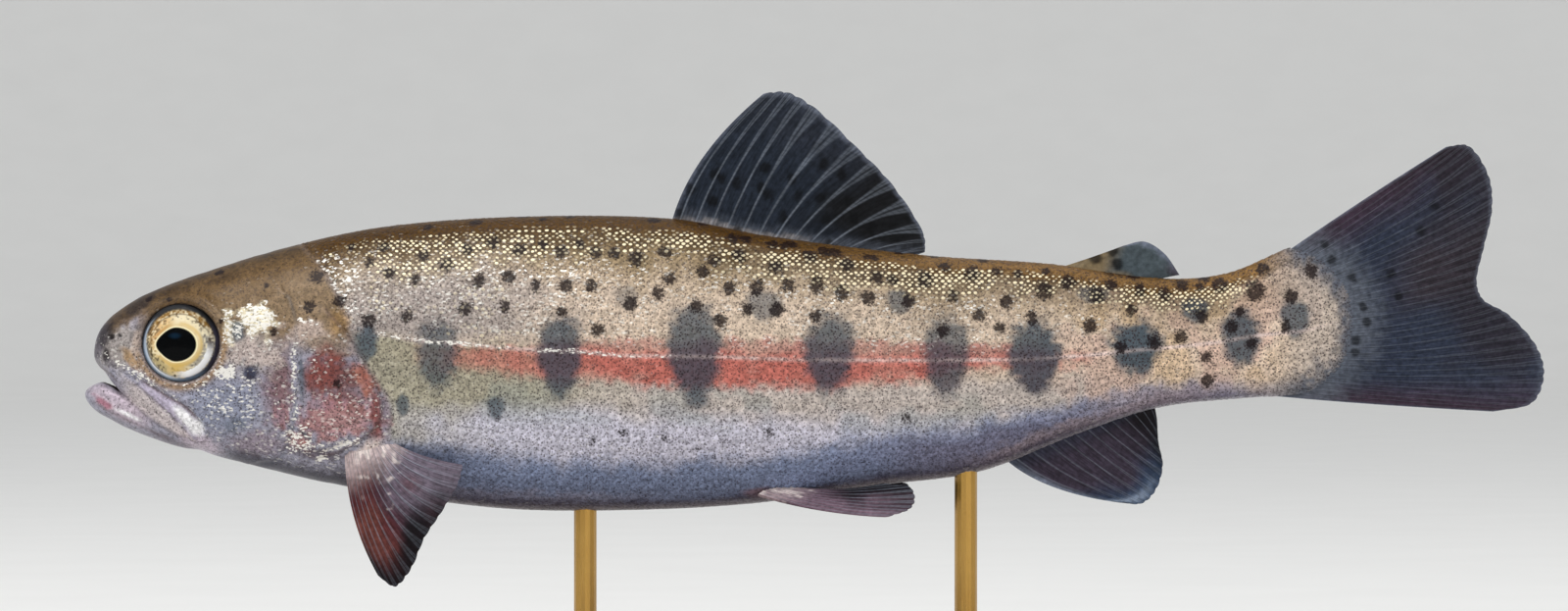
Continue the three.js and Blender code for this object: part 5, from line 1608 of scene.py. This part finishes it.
def makeWalnut():
    # Oiled walnut: brown heartwood with growth bands about 3 mm apart along the board, and fine open pores.
    material, tree = startMaterial("oiledWalnut")
    place = addNode(tree, "TexCoord").outputs["Object"]
    stretched = addNode(tree, "Mapping", {"Scale": (0.08, 1, 1)}, {"Vector": place})
    scale = perMetre(standFinish["bands"])
    bands = addNode(tree, "TexNoise", {"Scale": scale, "Detail": 4.0, "Distortion": 0.4},
                    {"Vector": stretched})
    streaks = addNode(tree, "Mapping", {"Scale": (0.05, 1, 1)}, {"Vector": place})
    scale = perMetre(standFinish["pores"])
    pores = addNode(tree, "TexNoise", {"Scale": scale, "Detail": 2.0}, {"Vector": streaks})
    ramp = addNode(tree, "ValToRGB", {}, {"Fac": bands})
    stops = ((0.32, standFinish["darkWood"]), (0.68, standFinish["paleWood"]))
    for stop, (position, code) in zip(ramp.color_ramp.elements, stops):
        stop.position = position
        stop.color = rgba(code)
    dark = addNode(tree, "MapRange", {"From Min": 0.34, "From Max": 0.46, "To Min": 0.6, "To Max": 0.0},
                   {"Value": pores})
    pored = addNode(tree, "Mix", {"data_type": "RGBA", 7: rgba(standFinish["pore"])}, {0: dark, 6: ramp})
    bump = addNode(tree, "Bump", {"Strength": 0.4, "Distance": 0.0001}, {"Height": pores})
    shader = addNode(tree, "BsdfPrincipled",
                     {"Roughness": 0.42, "Coat Weight": 0.25, "Coat Roughness": 0.25},
                     {"Base Color": pored, "Normal": bump})
    finishMaterial(tree, shader)
    return material


def makeBrass():
    # Lacquered brass rod: drawn lengthwise, so fine upright scratches, under a clear lacquer.
    material, tree = startMaterial("lacqueredBrass")
    place = addNode(tree, "TexCoord").outputs["Object"]
    drawn = addNode(tree, "Mapping", {"Scale": (1, 1, 0.04)}, {"Vector": place})
    scale = perMetre(standFinish["scratches"])
    scratches = addNode(tree, "TexNoise", {"Scale": scale, "Detail": 2.0}, {"Vector": drawn})
    scale = perMetre(standFinish["patina"])
    patina = addNode(tree, "TexNoise", {"Scale": scale, "Detail": 2.0}, {"Vector": place})
    tones = {6: rgba(standFinish["brass"]), 7: rgba(standFinish["tarnish"])}
    colour = addNode(tree, "Mix", {"data_type": "RGBA", **tones}, {0: patina})
    rough = addNode(tree, "MapRange", {"From Min": 0.3, "From Max": 0.7, "To Min": 0.2, "To Max": 0.38},
                    {"Value": scratches})
    bump = addNode(tree, "Bump", {"Strength": 0.2, "Distance": 0.00003}, {"Height": scratches})
    shader = addNode(tree, "BsdfPrincipled", {"Metallic": 1.0, "Coat Weight": 0.4, "Coat Roughness": 0.1},
                     {"Base Color": colour, "Roughness": rough, "Normal": bump})
    finishMaterial(tree, shader)
    return material


def dressStand():
    walnut, brass = makeWalnut(), makeBrass()
    for name, material in (("stand_base", walnut), ("stand_rod_front", brass), ("stand_rod_rear", brass)):
        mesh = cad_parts[name].data
        mesh.materials.clear()
        mesh.materials.append(material)


dressStand()
print("stand")


# Floor and backdrop in one pale bowl, soft lights and the camera.
stageMake = {
    "floorRadius": 2.2, "wallRadius": 3.2, "wallHeight": 1.3, "flatShare": 0.6,
    "paint": "#f6f5f2", "mottle": "#f1f0ed",
}
cameraMake = {"sensor": 36, "lens": 143.6, "clip": (0.01, 20), "place": (-0.00294, -0.6, 0.04237)}
lights = {  # place, aim, width in metres and watts
    "key": ((-0.3, -0.55, 0.9), (0, 0, 0.04), 0.5, 4.6),
    "fill": ((0.6, -0.9, 0.25), (0, 0, 0.04), 0.8, 0.8),
    "top": ((0.05, 0.1, 0.9), (0, 0, 0.04), 0.5, 1.2),
}
roomLight = {"Color": (0.95, 0.97, 1, 1), "Strength": 0.66}


def makeStage():
    bpy.ops.mesh.primitive_grid_add(x_subdivisions=80, y_subdivisions=80, size=2)
    bowl = bpy.context.object
    bowl.name = "backdrop"
    flat = readPoints(bowl)
    square = np.abs(flat[:, :2]).max(axis=1)
    flatShare = stageMake["flatShare"]
    direction = flat[:, :2] / np.maximum(np.linalg.norm(flat[:, :2], axis=1), 1e-9)[:, None]
    turn = np.clip((square - flatShare) / (1 - flatShare), 0, 1) * np.pi / 2
    bend = (stageMake["wallRadius"] - stageMake["floorRadius"]) * np.sin(turn)
    radius = np.minimum(square / flatShare, 1) * stageMake["floorRadius"] + bend
    height = (1 - np.cos(turn)) * stageMake["wallHeight"]
    writePoints(bowl, np.column_stack([direction * radius[:, None], height]))
    activate(bowl)
    bpy.ops.object.shade_smooth()
    material, tree = startMaterial("mattBackdropPaint")
    place = addNode(tree, "TexCoord").outputs["Object"]
    mottle = addNode(tree, "TexNoise", {"Scale": 40.0}, {"Vector": place})
    paints = {6: rgba(stageMake["paint"]), 7: rgba(stageMake["mottle"])}
    colour = addNode(tree, "Mix", {"data_type": "RGBA", **paints}, {0: mottle})
    shader = addNode(tree, "BsdfPrincipled", {"Roughness": 0.9, "Specular IOR Level": 0.1},
                     {"Base Color": colour})
    finishMaterial(tree, shader)
    bowl.data.materials.append(material)


def makeCamera():
    data = bpy.data.cameras.new("camera")
    camera = bpy.data.objects.new("camera", data)
    bpy.context.scene.collection.objects.link(camera)
    data.sensor_width = cameraMake["sensor"]
    data.lens = cameraMake["lens"]
    data.clip_start, data.clip_end = cameraMake["clip"]
    camera.location = cameraMake["place"]
    camera.rotation_euler = (math.radians(90), 0, 0)
    bpy.context.scene.camera = camera


def makeLights():
    for name, (place, target, size, energy) in lights.items():
        data = bpy.data.lights.new(name, "AREA")
        data.shape = "DISK"
        data.size = size
        data.energy = energy
        lamp = bpy.data.objects.new(name, data)
        bpy.context.scene.collection.objects.link(lamp)
        lamp.location = place
        x, y, z = np.array(target) - np.array(place)
        lamp.rotation_euler = (math.atan2(math.hypot(x, y), -z), 0, math.atan2(y, x) - math.pi / 2)
        lamp.visible_camera = False
    world = bpy.data.worlds.new("room")
    bpy.context.scene.world = world
    world.use_nodes = True
    for name, value in roomLight.items():
        world.node_tree.nodes["Background"].inputs[name].default_value = value


makeStage()
makeCamera()
makeLights()
bpy.context.scene.view_settings.view_transform = "Standard"
print("backdrop, camera and lights")
